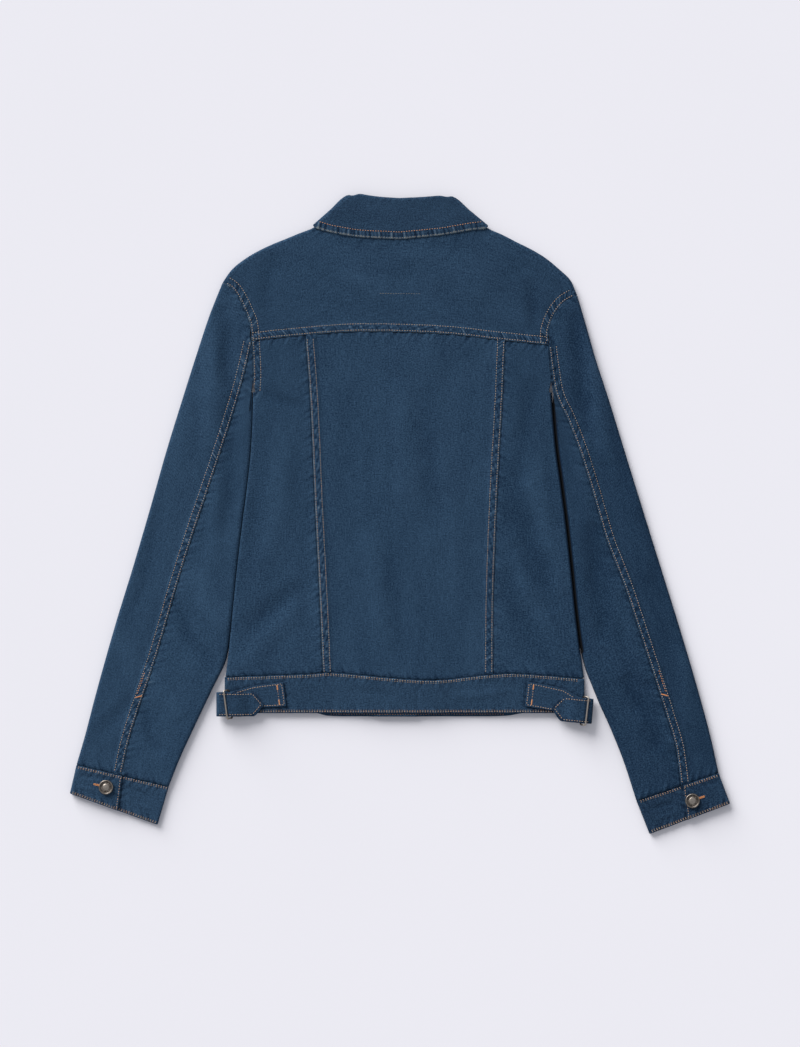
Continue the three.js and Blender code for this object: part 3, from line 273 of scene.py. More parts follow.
class Line:
    """A smooth line through points, read by its share of the length."""

    def __init__(self, points, divisions=60):
        p = np.array(points, float)
        padded = np.vstack([p[:1], p, p[-1:]])
        rows = []
        for k in range(len(p) - 1):
            a, b, c, d = padded[k:k + 4]
            t = np.linspace(0, 1, divisions, endpoint=False)[:, None]
            leave, arrive = (c - a) / 2, (d - b) / 2
            rows.append(
                (2 * b - 2 * c + leave + arrive) * t**3
                + (3 * c - 3 * b - 2 * leave - arrive) * t**2 + leave * t + b
            )
        self.points = np.vstack([*rows, p[-1:]])
        self.lengths = np.concatenate([[0], np.cumsum(np.linalg.norm(np.diff(self.points, axis=0), axis=1))])
        self.length = self.lengths[-1]

    def at(self, share):
        s = share * self.length
        return np.array([np.interp(s, self.lengths, self.points[:, k]) for k in range(self.points.shape[1])])

    def tangent(self, share):
        return unit(self.at(min(1, share + 0.004)) - self.at(max(0, share - 0.004)))


def to_line(x, y, line):
    """Distance from places to a line of points, and how far along it each nearest place lies."""
    x, y = np.asarray(x, float), np.asarray(y, float)
    best = np.full(x.shape, 1e9)
    along = np.zeros(x.shape)
    walked = 0.0
    for p, q in zip(line[:-1], line[1:]):
        dx, dy = q[0] - p[0], q[1] - p[1]
        length = math.hypot(dx, dy)
        if length == 0:
            continue
        t = np.clip(((x - p[0]) * dx + (y - p[1]) * dy) / length**2, 0, 1)
        d = np.hypot(x - p[0] - t * dx, y - p[1] - t * dy)
        nearer = d < best
        best = np.where(nearer, d, best)
        along = np.where(nearer, walked + t * length, along)
        walked += length
    return best, along


def outside_raised(x, y):
    """How far places lie outside the button strip and the collar, which hold the cloth up."""
    x, y = np.asarray(x, float), np.asarray(y, float)
    strip = np.abs(x) - (PLACKET_HALF + 2)
    result = np.zeros(np.broadcast(x, y).shape)
    for side in SIDES:
        c = COLLAR[side]
        line = [c["roll_corner"], c["edge_corner"], c["point"], c["front_roll"]]
        nearest, _ = to_line(x, y, line)
        share = (y - c["point"][1]) / (c["edge_corner"][1] - c["point"][1])
        wide = lerp(c["point"][0], c["edge_corner"][0], share)
        share = (x - c["point"][0]) / (c["front_roll"][0] - c["point"][0])
        low = lerp(c["point"][1], c["front_roll"][1], share)
        inside = (np.abs(x) < np.abs(wide)) & (y > low)
        away = np.maximum(0, np.minimum(strip, np.where(inside, 0, nearest - COLLAR_MARGIN)))
        mine = x < 0 if side == "left" else x >= 0
        result = np.where(mine, away, result)
    return result


def under_lift(x, y):
    return UNDER_LIFT * soft(1 - outside_raised(x, y) / LIFT_RAMP)


def body_top(x, y):
    return SIDE_HEIGHT + CENTRE_RISE * soft(1 - outside_raised(x, y) / TOP_RAMP)


def overlap_climb(x, height):
    return height * soft((x + PLACKET_HALF + 2 + OVERLAP_RAMP) / OVERLAP_RAMP)


# Points of a sheet: place and the way it faces
def top_point(p, lift=0.0):
    return [p[0], p[1], float(body_top(p[0], p[1])) + lift, 0, 0, 1]


def under_point(p, extra=0.0):
    return [p[0], p[1], float(under_lift(p[0], p[1])) + extra, 0, 0, -1]


def fold_round(edge, normal, top_z, under_z, count=ARC_STEPS):
    """A half turn round an edge, from its top layer down to its under layer."""
    radius = (top_z - under_z) / 2
    middle = shift(edge, normal, -radius)
    points = []
    for t in steps(count):
        out, up = math.cos(math.pi * (0.5 - t)), math.sin(math.pi * (0.5 - t))
        p = shift(middle, normal, radius * max(out, 0.0) ** PRESSED)
        z = under_z + radius + radius * math.copysign(abs(up) ** PRESSED, up)
        points.append([p[0], p[1], z, normal[0] * out, normal[1] * out, up])
    return points


# Collar
def neck_normal(side):
    down = direction(COLLAR[side]["roll_corner"], COLLAR[side]["edge_corner"])
    return vec(down[1], -down[0]) * -sign_of(side)


def collar_sections(side):
    c = COLLAR[side]
    normal = neck_normal(side)
    corner = shift(c["roll_corner"], normal, -FALL_OUT)
    edge = shift(c["edge_corner"], normal, -FALL_OUT)
    sections = []
    for t in steps(COLLAR_FRONT_STEPS):
        sections.append((mix(c["front_roll"], corner, t), mix(c["point"], edge, t), -math.pi / 2, normal))
    for t in steps(COLLAR_TURN_STEPS)[1:]:
        rise = COLLAR_CORNER_RISE * max(0, 2 * t - 1)
        roll = shift(corner, direction(edge, corner), rise)
        sections.append((roll, edge, math.pi * (t - 0.5), normal))
    roll_line = Line([roll, *c["roll"], COLLAR_MIDDLE["roll"]])
    edge_line = Line([edge, *c["edge"], COLLAR_MIDDLE["edge"]])
    for t in steps(COLLAR_BACK_STEPS // 2)[1:]:
        sections.append((roll_line.at(t), edge_line.at(t), math.pi / 2, normal))
    return sections


COLLAR_SECTIONS = {side: collar_sections(side) for side in SIDES}
SIDE_COUNT = COLLAR_FRONT_STEPS + COLLAR_TURN_STEPS


def stand_end(section, beyond=0.0):
    return shift(section[0], direction(section[0], section[1]), STAND_LENGTH + beyond)


def collar_rows():
    """Outer and inner points of the collar, section by section from front to front."""
    sections = COLLAR_SECTIONS["left"] + COLLAR_SECTIONS["right"][:-1][::-1]
    roll_radius = (FALL_OUT - STAND_IN) / 2
    middle = STAND_IN + roll_radius
    thin = max(roll_radius - COLLAR_CLOTH, ROLL_INNER)
    outer, inner = [], []
    for start, end, turn, normal in sections:
        along = direction(start, end)
        fall = np.linalg.norm(end - start)

        def place(v, w):
            p = shift(shift(start, along, v), normal, w * math.cos(turn))
            return [p[0], p[1], COLLAR_AXIS_Z + w * math.sin(turn)]

        def turn_points(radius):
            angles = [math.pi * (0.5 - t) for t in steps(4)]
            return [place(roll_radius - radius * math.cos(a), middle + radius * math.sin(a)) for a in angles]

        outer.append([
            place(fall, FALL_OUT), place(fall / 2, FALL_OUT), *turn_points(roll_radius),
            place(STAND_LENGTH, STAND_IN),
        ])
        inner.append([
            place(fall, FALL_OUT - COLLAR_CLOTH), place(fall / 2, FALL_OUT - COLLAR_CLOTH),
            *turn_points(thin),
            place(STAND_LENGTH, STAND_IN + COLLAR_CLOTH - 0.1),
        ])
    return np.array(outer), np.array(inner)


# Shoulders and armholes
def shoulder_places(side):
    """Places along the shoulder fold, from the sleeve seam to the neck under the collar."""
    c = COLLAR[side]
    down = direction(c["roll_corner"], c["edge_corner"])
    normal = neck_normal(side)
    inset = FALL_OUT - (float(body_top(0, 300)) - UNDER_LIFT) / 2 + COLLAR_CLEAR
    neck = shift(shift(c["roll_corner"], down, STAND_LENGTH + SEAM_GAP), normal, -inset)
    corner = shift(shift(c["edge_corner"], down, 1), normal, -inset)
    outside = Line([*SHOULDER[side], corner])
    sign = -sign_of(side)
    places = []
    for t in steps(SHOULDER_STEPS - 2)[:-1]:
        tangent = outside.tangent(t)
        places.append((outside.at(t), tangent, vec(-tangent[1], tangent[0]) * sign))
    tangent = direction(corner, neck)
    places += [(at, tangent, normal) for at in (corner, mix(corner, neck, 0.5), neck)]
    return places


SHOULDERS = {side: shoulder_places(side) for side in SIDES}


def flap_end(side, k, beyond):
    at, _, normal = SHOULDERS[side][k]
    middle = shift(at, normal, (float(under_lift(*at)) - float(body_top(*at))) / 2)
    if k < SHOULDER_STEPS:
        return shift(middle, normal, -FLAP - beyond)
    low, high = (
        stand_end(COLLAR_SECTIONS[side][i], SEAM_GAP) for i in (COLLAR_FRONT_STEPS - 1, COLLAR_FRONT_STEPS)
    )
    return shift(middle, direction(high, low), FLAP + beyond)


SHOULDER_FOLD = SIDE_HEIGHT / 2


def armhole_line(side):
    at, _, normal = SHOULDERS[side][0]
    row = SIDE_LINE[0]
    end = (row[side] + sign_of(side) * SLEEVE_CLEAR[side] / 2, row["y"])
    return Line([shift(at, normal, -SHOULDER_FOLD), *ARMHOLE[side], end])


def armhole_places(side):
    """Pairs of places, of the body and of the sleeve, down the armhole."""
    sign = sign_of(side)
    curve = armhole_line(side)
    seam_at = 0.0
    while curve.at(seam_at)[1] > SEAM_ROW_Y[side]:
        seam_at += 0.002
    shares = [t * seam_at for t in steps(YOKE_ROWS)] + [lerp(seam_at, 1, t) for t in steps(SIDE_ROWS)[1:]]
    places = []
    for t in shares:
        at, tangent = curve.at(t), curve.tangent(t)
        to_sleeve = vec(-tangent[1], tangent[0]) * sign
        half = SEAM_GAP / 2
        body, sleeve = shift(at, to_sleeve, -half), shift(at, to_sleeve, half)
        if t > 0.999:
            body[0] -= sign * (SHOULDER_FOLD + SLEEVE_CLEAR[side] / 2 - half)
            sleeve[0] += sign * (SLEEVE_HEIGHT / 2 + SLEEVE_CLEAR[side] / 2 - half)
        places.append((body, sleeve))
    return places


ARMS = {side: armhole_places(side) for side in SIDES}


# Grids of points for each piece, rows by columns, each point a place and the way it faces
def yoke_grid():
    necks = COLLAR_SECTIONS["left"][SIDE_COUNT + 1:] + COLLAR_SECTIONS["right"][SIDE_COUNT + 1:-1][::-1]
    rim = []
    for k, (at, tangent, normal) in enumerate(SHOULDERS["left"]):
        rim.append(("left", k, shift(at, tangent, SEAM_GAP / 2) if k == 0 else at, normal))
    rim += [(None, 0, stand_end(section, SEAM_GAP), None) for section in necks]
    for k, (at, tangent, normal) in reversed(list(enumerate(SHOULDERS["right"]))):
        rim.append(("right", k, shift(at, tangent, SEAM_GAP / 2) if k == 0 else at, normal))
    seam_from, seam_to = ARMS["left"][YOKE_ROWS][0][0], ARMS["right"][YOKE_ROWS][0][0]
    levels = [0, 0.06, 0.078] + steps(YOKE_ROWS)[1:]
    columns = []
    for j, (side, k, at, normal) in enumerate(rim):
        across = j / (len(rim) - 1)
        x = lerp(seam_from, seam_to, float(soft(across)) * 0.35 + across * 0.65)
        bottom = vec(x, look_up(YOKE_SEAM, "x", x, "y") + SEAM_GAP / 2)
        upper, lower = float(body_top(*at)), float(under_lift(*at))
        top = at if normal is None else shift(at, normal, (lower - upper) / 2)
        near = "left" if across < 0.5 else "right"
        fade = max(0.0, 1 - min(across, 1 - across) / 0.3) ** 2
        column = []
        for t in levels:
            p = mix(bottom, top, t) + bow_of_armhole(near, t) * fade
            column.append(top_point(p, FELL_RAISE if t < 0.07 else 0))
        column[-1][2] = upper
        if normal is None:
            column += [column[-1]] * (ARC_STEPS + 1)
        else:
            under = ARMS[side][1][0] if k == 0 else flap_end(side, k, 0)
            column += fold_round(at, normal, upper, lower)[1:] + [under_point(under)]
        columns.append(column)
    last_neck = len(rim) - 1 - SHOULDER_STEPS
    return columns, lambda i, j: j < len(levels) - 1 or i < SHOULDER_STEPS or i >= last_neck


def bow_of_armhole(side, t):
    """How far the armhole bows from a straight line between the yoke seam and the shoulder."""
    places = [body for body, _ in ARMS[side][:YOKE_ROWS + 1]]
    k = (1 - t) * YOKE_ROWS
    low = int(k)
    on = mix(places[low], places[min(YOKE_ROWS, low + 1)], k - low)
    return on - mix(places[YOKE_ROWS], places[0], t)


def side_rows(side):
    """Rows of one side of the body: down the armhole, then down the folded edge to the waist."""
    sign = sign_of(side)
    rows = [(body, None) for body, _ in ARMS[side][YOKE_ROWS:-1]]
    waist_y = look_up(WAIST_SEAM, "x", SIDE_LINE[-1][side], "y") + SEAM_GAP / 2
    for row in SIDE_LINE:
        y = max(row["y"], waist_y)
        x = look_up(SIDE_LINE, "y", y, side)
        rows.append((vec(x - sign * SHOULDER_FOLD, y), vec(x, y)))
    return rows


def princess_x(side, y):
    return look_up(PRINCESS_SEAM, "y", y, side)


def princess_rows(side):
    rows = side_rows(side)
    top, low = rows[0][0][1], rows[-1][0][1]
    start = look_up(YOKE_SEAM, "x", princess_x(side, top), "y") - SEAM_GAP / 2
    end = look_up(WAIST_SEAM, "x", princess_x(side, low), "y") + SEAM_GAP / 2
    places = []
    for place, _ in rows:
        y = lerp(start, end, (top - place[1]) / (top - low))
        places.append(vec(princess_x(side, y) + sign_of(side) * SEAM_GAP / 2, y))
    return places


def meet_seams(p, first, last):
    """Moves a place in a panel's first or last row onto the yoke seam or the waist seam."""
    if first:
        p[1] = look_up(YOKE_SEAM, "x", p[0], "y") - SEAM_GAP / 2
    if last:
        p[1] = look_up(WAIST_SEAM, "x", p[0], "y") + SEAM_GAP / 2
    return p


def back_side_grid(side):
    sign = sign_of(side)
    rows, seams = side_rows(side), princess_rows(side)
    across = [0, 0.2, 0.4, 0.6, 0.8, 1]
    grid = []
    for i, ((place, edge), seam) in enumerate(zip(rows, seams)):
        last = i == len(rows) - 1
        line = [top_point(meet_seams(mix(seam, place, t), i == 0, last)) for t in across]
        line[-1][2] = SIDE_HEIGHT
        if edge is None:
            grid.append(line + [line[-1]] * (ARC_STEPS + 1))
            continue
        under_x = place[0] - sign * SEAM_UNDER
        under_y = look_up(WAIST_SEAM, "x", under_x, "y") + SEAM_GAP / 2 if last else edge[1]
        side_edge = fold_round(edge, (sign, 0), SIDE_HEIGHT, 0)[1:]
        grid.append(line + side_edge + [under_point((under_x, under_y))])
    first_folded = next(i for i, row in enumerate(rows) if row[1] is not None)
    return grid, lambda i, j: j < len(across) - 1 or i >= first_folded


def back_centre_grid():
    left = [p + vec(SEAM_GAP, 0) for p in princess_rows("left")]
    right = [p - vec(SEAM_GAP, 0) for p in princess_rows("right")]
    grid = []
    for i, (start, end) in enumerate(zip(left, right)):
        width = end[0] - start[0]
        fell, thin = FELL_WIDTH / width, (FELL_WIDTH + 2) / width
        across = [0, fell, thin, 0.25, 0.4, 0.5, 0.6, 0.75, 1 - thin, 1 - fell, 1]
        line = []
        for j, t in enumerate(across):
            p = meet_seams(mix(start, end, t), i == 0, i == len(left) - 1)
            line.append(top_point(p, FELL_RAISE if j < 2 or j > len(across) - 3 else 0))
        grid.append(line)
    return grid, None


def front_grid(side):
    sign = sign_of(side)
    strip_edge = PLACKET_HALF if side == "left" else -PLACKET_HALF
    arm = [body for body, _ in ARMS[side][1:]]
    shoulder = [flap_end(side, k, SEAM_GAP) for k in range(1, len(SHOULDERS[side]))]
    neck = [stand_end(s, SEAM_GAP) for s in COLLAR_SECTIONS[side][:COLLAR_FRONT_STEPS + 1][::-1][1:]]
    neck_y = neck[-1][1] - 0.4
    strip_side = sign * (PLACKET_HALF + 2)
    seam_place = shift(arm[0], (-sign, -0.15), 5)
    top = [arm[0], seam_place, *shoulder[1:], *neck, vec(strip_side, neck_y), vec(strip_edge, neck_y)]
    columns = len(top)
    ramp_x = sign * (PLACKET_HALF + 2 + OVERLAP_RAMP)

    def spread(start, j):
        if j == columns - 1:
            return strip_edge
        return strip_side if j == columns - 2 else lerp(start, ramp_x, (j - 1) / (columns - 4))

    def seam_from(x):
        return x - sign * (SHOULDER_FOLD + SEAM_UNDER + SEAM_GAP)

    pit = SIDE_LINE[0]
    pit_y = pit["y"] + SEAM_GAP / 2
    bottom = [vec(arm[-1][0] if j == 0 else spread(seam_from(pit[side]), j), pit_y) for j in range(columns)]
    grid = []
    for i, edge in enumerate(arm):
        t = i / (len(arm) - 1)
        bow = edge - mix(top[0], bottom[0], t)
        grid.append([mix(top[j], bottom[j], t) + bow * (1 - j / (columns - 1)) ** 2 for j in range(columns)])
    grid[-1] = bottom
    waist_y = look_up(WAIST_SEAM, "x", SIDE_LINE[-1][side], "y") + SEAM_GAP / 2
    for row in SIDE_LINE[1:]:
        y = max(row["y"], waist_y)
        x = look_up(SIDE_LINE, "y", y, side)
        places = [vec(spread(seam_from(x), max(j, 1)), y) for j in range(columns)]
        grid.append([meet_seams(p, False, row is SIDE_LINE[-1]) for p in places])

    def above(x):
        return float(overlap_climb(x, CLOTH + 0.1 + SEAM_GAP)) if side == "left" else 0.0

    points = [[under_point(p, above(p[0])) for p in row] for row in grid]
    return points, lambda i, j: j > 0 or i < len(arm) - 1


def sleeve_end(side):
    cuff = CUFFS[side]
    along = direction(cuff["out_top"], cuff["in_top"])
    up = vec(along[1], -along[0]) * sign_of(side)
    out, inward = (shift(cuff[corner], up, SEAM_GAP) for corner in ("out_top", "in_top"))
    return dict(out_x=out[0], out_y=out[1], in_x=inward[0], in_y=inward[1], seam=cuff["sleeve_seam"])


def sleeve_sections(side):
    sign = sign_of(side)
    rows = SLEEVE[side] + [sleeve_end(side)]
    arm = [sleeve for _, sleeve in ARMS[side]]
    radius = SLEEVE_HEIGHT / 2
    outline = [vec(row["out_x"], row["out_y"]) for row in rows]
    inline = [vec(row["in_x"], row["in_y"]) for row in rows]
    _, first_tangent, first_normal = SHOULDERS[side][0]
    end = len(rows) - 1
    wrist = direction(outline[end], inline[end])

    def facing(line, k, way):
        d = direction(line[k - 1], line[k + 1])
        return vec(d[1], -d[0]) * way

    sections = []
    for i, row in enumerate(rows):
        if i == 0:
            out_normal, in_normal = first_normal, vec(-sign, 0)
        elif i == end:
            out_normal, in_normal = -wrist, wrist
        else:
            out_normal, in_normal = facing(outline, i, -sign), facing(inline, i, sign)
        out_edge = shift(outline[0], first_tangent, -SEAM_GAP / 2) if i == 0 else outline[i]
        start = arm[0] if i == 0 else shift(out_edge, out_normal, -radius)
        stop = arm[-1] if i == 0 else shift(inline[i], in_normal, -radius)
        sections.append(dict(
            i=i, seam=row["seam"], out_normal=out_normal, in_normal=in_normal, out_edge=out_edge,
            in_edge=inline[i], start=start, stop=stop, width=np.linalg.norm(stop - start), arm=arm,
        ))
    return sections


def place_across(section, share, k, first):
    """Place across a section: k counts the armhole's points, and the first sections keep its curve."""
    arm = section["arm"]
    if section["i"] == 0:
        return arm[k].copy()
    chord = first["stop"] - first["start"]
    on = arm[k] - first["start"]
    bow = on - chord * (chord @ on) / (chord @ chord)
    keep = CAP_FADE[section["i"]] if section["i"] < len(CAP_FADE) else 0
    return mix(section["start"], section["stop"], share) + bow * keep


def sleeve_grids(side):
    """The grids of the upper sleeve and of the lower sleeve."""
    sign = sign_of(side)
    sections = sleeve_sections(side)
    total = YOKE_ROWS + SIDE_ROWS
    last = total - 2
    upper_grid, lower_grid = [], []

    def top_at(p, lift=0.0):
        return [p[0], p[1], SLEEVE_HEIGHT + lift, 0, 0, 1]

    def under_at(p):
        return [p[0], p[1], 0, 0, 0, -1]

    def tucked(arc, s):
        """The lower part of the inner fold reaches a little way under the body's own fold."""
        reach = TUCK[side] * soft((s["in_edge"][1] + 190) / 30) * soft((SLEEVE_ROOT - s["in_edge"][1]) / 10)
        for point, share in zip(arc[-3:], (0.3, 1, 1)):
            point[0] -= sign * reach * share
        return arc

    for s in sections:
        half = SEAM_GAP / 2
        arm_side = 1 - (SEAM_UNDER + UNDERARM_EXTRA) / s["width"]
        aside = sign * SEAM_GAP if s["i"] == 0 else 0
        under = [under_at(place_across(s, arm_side * t, k, sections[0])) for k, t in enumerate(steps(last))]
        under[last][0] += aside * 1.3
        out_arc = fold_round(s["out_edge"], s["out_normal"], SLEEVE_HEIGHT, 0)
        in_arc = tucked(fold_round(s["in_edge"], s["in_normal"], SLEEVE_HEIGHT, 0), s)
        seam_place = place_across(s, s["seam"], YOKE_ROWS, sections[0])
        slide = direction(s["start"], s["stop"])
        thin = (FELL_WIDTH + 2) / s["width"]
        line = [
            top_at(place_across(s, t * (s["seam"] - thin), k, sections[0]))
            for k, t in enumerate(steps(YOKE_ROWS - 1))
        ]
        line.append(top_at(shift(seam_place, slide, -FELL_WIDTH), FELL_RAISE))
        line.append(top_at(shift(seam_place, slide, -half), FELL_RAISE))
        line[-1][0] += aside / 2
        lower = [
            top_at(place_across(s, lerp(s["seam"], 1, t), YOKE_ROWS + k, sections[0]))
            for k, t in enumerate(steps(SIDE_ROWS))
        ]
        lower[0] = top_at(shift(seam_place, slide, half))
        upper_grid.append(under[::-1] + out_arc[::-1][1:-1] + line)
        seam_under = under_at(shift(place_across(s, arm_side, last, sections[0]), slide, SEAM_GAP))
        between = under_at(place_across(s, (1 + arm_side) / 2, total - 1, sections[0]))
        lower_grid.append(lower + in_arc[1:] + [between, seam_under])
    return upper_grid, lower_grid


def cuff_grid(side):
    c = CUFFS[side]
    rows = []
    for v in steps(2):
        out, inward = mix(c["out_top"], c["out_end"], v), mix(c["in_top"], c["in_end"], v)
        slide = direction(out, inward)

        def top(share, z):
            return [*mix(out, inward, share), z, 0, 0, 1]

        def under(share):
            return [*mix(out, inward, share), 0, 0, 0, -1]

        flap = lerp(*c["flap"], v)
        rows.append([
            top(c["under_end"], CUFF_LOW_TOP), top(flap, CUFF_LOW_TOP), top(0.75, CUFF_LOW_TOP),
            *fold_round(inward, slide, CUFF_LOW_TOP, 0), under(0.66), under(0.33),
            *fold_round(out, -slide, CUFF_FLAP_TOP, 0)[::-1], top(0.2, CUFF_FLAP_TOP),
            top(flap, CUFF_FLAP_TOP),
        ])
    return rows, None


def band_top(x):
    return BAND_SIDE_TOP + BAND_MIDDLE_RISE * float(soft(1 - (abs(x) - 26) / 50))


BAND_ACROSS = (-176, -150, -125, -100, -84, -62, -38, -18, 0, 18, 38, 62, 84, 100, 117, 134, 155, 175, 195)
BAND_BELOW = (196, 172, 148, 124, 100, 84, 65, 46, 22, 0)


def band_top_y(x):
    return look_up(WAIST_SEAM, "x", x, "y") - SEAM_GAP / 2


def band_grid():
    middle = (FRONT_HEM["from"] + FRONT_HEM["to"]) / 2
    half = (FRONT_HEM["to"] - FRONT_HEM["from"]) / 2
    rows = []
    for level in (0, 0.5, 1):
        def top(x):
            return [x, lerp(band_top_y(x), HEM_Y, level), band_top(x), 0, 0, 1]

        def under(x, extra=0.0):
            drop = FRONT_HEM_DROP * float(soft((half + 12 - abs(x - middle)) / 24))
            y = lerp(band_top_y(x), HEM_Y - drop, level)
            return [x, y, float(under_lift(x, y)) + extra, 0, 0, -1]

        def arc(side):
            y = lerp(band_top_y(WAIST_ENDS[side]), HEM_Y, level)
            return fold_round((WAIST_ENDS[side], y), (sign_of(side), 0), band_top(150), 0)

        def climbing(x):
            return under(x, float(overlap_climb(x, BAND + SEAM_GAP)))

        rows.append([
            climbing(PLACKET_HALF), *[climbing(-x) for x in BAND_BELOW][::-1], *arc("left")[::-1],
            *[top(x) for x in BAND_ACROSS], *arc("right"), *[under(x) for x in BAND_BELOW],
            under(-PLACKET_HALF),
        ])
    return rows, None


# Folds: a soft ridge or trough from one end to the other, its half width and height
BODY_FOLDS = table(
    "x1 y1 x2 y2 width height",
    (22, 150, 42, -20, 24, -1.0), (0, 160, 14, -10, 22, 0.8), (-18, -10, 6, -176, 20, -0.9),
    (-38, -10, -24, -180, 22, 0.9), (56, 90, 60, -90, 26, 0.7), (-64, 150, -52, -40, 24, -0.5),
    (118, 60, 176, -116, 22, -1.7), (142, 90, 196, -92, 20, 1.2), (116, -66, 168, -186, 20, -1.5),
    (130, -46, 194, -176, 18, 1.2), (-112, -80, -186, -142, 20, -1.2), (-118, -106, -190, -182, 20, 1.1),
    (-160, 142, -112, 122, 12, -1.0), (-130, 120, -152, -60, 22, 1.0), (152, 160, 144, 36, 18, -1.3),
    (-164, 90, -178, -90, 16, -0.8), (-70, 288, -10, 258, 24, 0.8), (152, 276, 160, 212, 15, -1.3),
    (-148, 306, -160, 214, 16, -0.8), (-96, 20, -92, -180, 16, 0.8), (58, 298, 100, 226, 24, 0.6),
    (-20, 300, 60, 300, 14, 0.5), (100, 230, 40, 262, 20, -0.6),
)
SLEEVE_FOLDS = {
    "left": table(
        "x1 y1 x2 y2 width height",
        (-206, 246, -195, 100, 17, -2.1), (-196, 140, -205, -30, 18, -1.7), (-217, 230, -226, 70, 19, 1.5),
        (-272, -100, -218, -188, 15, -1.9), (-248, -66, -200, -138, 20, 1.7),
        (-308, -222, -276, -280, 14, -1.5),
        (-340, -124, -294, -206, 20, 1.1), (-306, -214, -356, -260, 15, -1.1),
        (-296, -178, -256, -240, 16, 1.2),
        (-240, 170, -266, 40, 20, 1.0), (-280, 10, -304, -110, 18, -1.0), (-206, 60, -222, -70, 16, 0.9),
    ),
    "right": table(
        "x1 y1 x2 y2 width height",
        (204, 236, 216, 90, 16, -1.9), (224, 212, 242, 60, 20, 1.4), (222, -10, 240, -150, 18, -1.6),
        (246, -76, 290, -198, 20, 1.3), (260, -190, 306, -276, 17, -1.7), (326, -150, 340, -252, 18, 1.2),
        (278, -226, 330, -278, 14, 1.2), (244, 150, 274, 20, 18, -1.0), (286, 10, 310, -110, 18, -1.0),
        (206, 90, 222, -30, 15, 0.9),
    ),
}
BAND_FOLDS = table(
    "x1 y1 x2 y2 width height",
    (19.5, -197, 21, -228, 3.5, -0.7), (-110, -196, -88, -204, 6, 0.5), (-60, -206, 0, -212, 8, -0.5),
    (60, -214, 130, -206, 8, 0.6), (-160, -208, -120, -214, 7, -0.5), (90, -198, 120, -196, 5, -0.5),
)
CUFF_FOLDS = {
    "left": table(
        "x1 y1 x2 y2 width height",
        (-374, -305, -338, -309, 4, -0.7), (-322, -318, -286, -332, 5, -0.6),
        (-376, -318, -356, -323, 4, 0.5),
        (-310, -338, -286, -346, 4, 0.5),
    ),
    "right": table(
        "x1 y1 x2 y2 width height",
        (290, -345, 322, -336, 5, -0.7), (350, -318, 374, -312, 4, -0.6), (298, -356, 326, -348, 4, 0.5),
    ),
}
# Creases pressed up into the layers underneath, which lie flat between them
UNDER_FOLDS = table(
    "x1 y1 x2 y2 width height",
    (-70, 150, -120, 40, 14, 0.8), (74, 120, 128, -20, 15, 0.8), (-60, -20, -140, -110, 14, 0.7),
    (60, -60, 150, -140, 13, 0.8), (-250, 120, -262, -20, 12, 0.8), (-300, -90, -280, -190, 12, 0.8),
    (246, 100, 262, -30, 12, 0.8), (300, -110, 286, -210, 12, 0.8),
)


def fold_height(folds, x, y):
    """Height of the folds, which sway a little and fade out towards both ends."""
    total = np.zeros(np.shape(x))
    for k, f in enumerate(folds):
        length = math.hypot(f["x2"] - f["x1"], f["y2"] - f["y1"])
        sway = 0.16 * f["width"] * waver(x, y, 60, 1.7 * k)
        d, along = to_line(x + sway, y + sway, [(f["x1"], f["y1"]), (f["x2"], f["y2"])])
        t = np.clip(along / length, 0, 1)
        total = total + f["height"] * soft(1 - d / f["width"]) * np.sqrt(4 * t * (1 - t))
    return total


def ripple(along, seed):
    """An uneven wave along a seam, from about -1 to 1, in millimetres along."""
    first = np.sin(along * 0.86 + seed + 1.7 * np.sin(along * 0.043 + seed))
    second = np.sin(along * 0.57 + seed * 2.3 + 1.3 * np.sin(along * 0.061))
    third = np.sin(along * 0.23 + seed * 0.7)
    return 0.5 * first + 0.35 * second + 0.25 * third


def waver(x, y, size, seed):
    """Slow, uneven swells over an area, from about -1 to 1, of about this size."""
    k = 2 * math.pi / size
    a = np.sin(k * (x * 0.83 + y * 0.31) + seed + 1.1 * np.sin(k * 0.53 * (y - 0.4 * x) + seed * 1.9))
    b = np.sin(k * 1.27 * (y * 0.71 - x * 0.42) + seed * 2.7 + 0.9 * np.sin(k * 0.41 * x + seed))
    return 0.5 * (a + b)


# Seam lines that the stitches, the puckers and the wear follow
def seam_places(side):
    """The felled back seam of a sleeve, section by section."""
    sections = sleeve_sections(side)
    return [place_across(s, s["seam"], YOKE_ROWS, sections[0]) for s in sections]


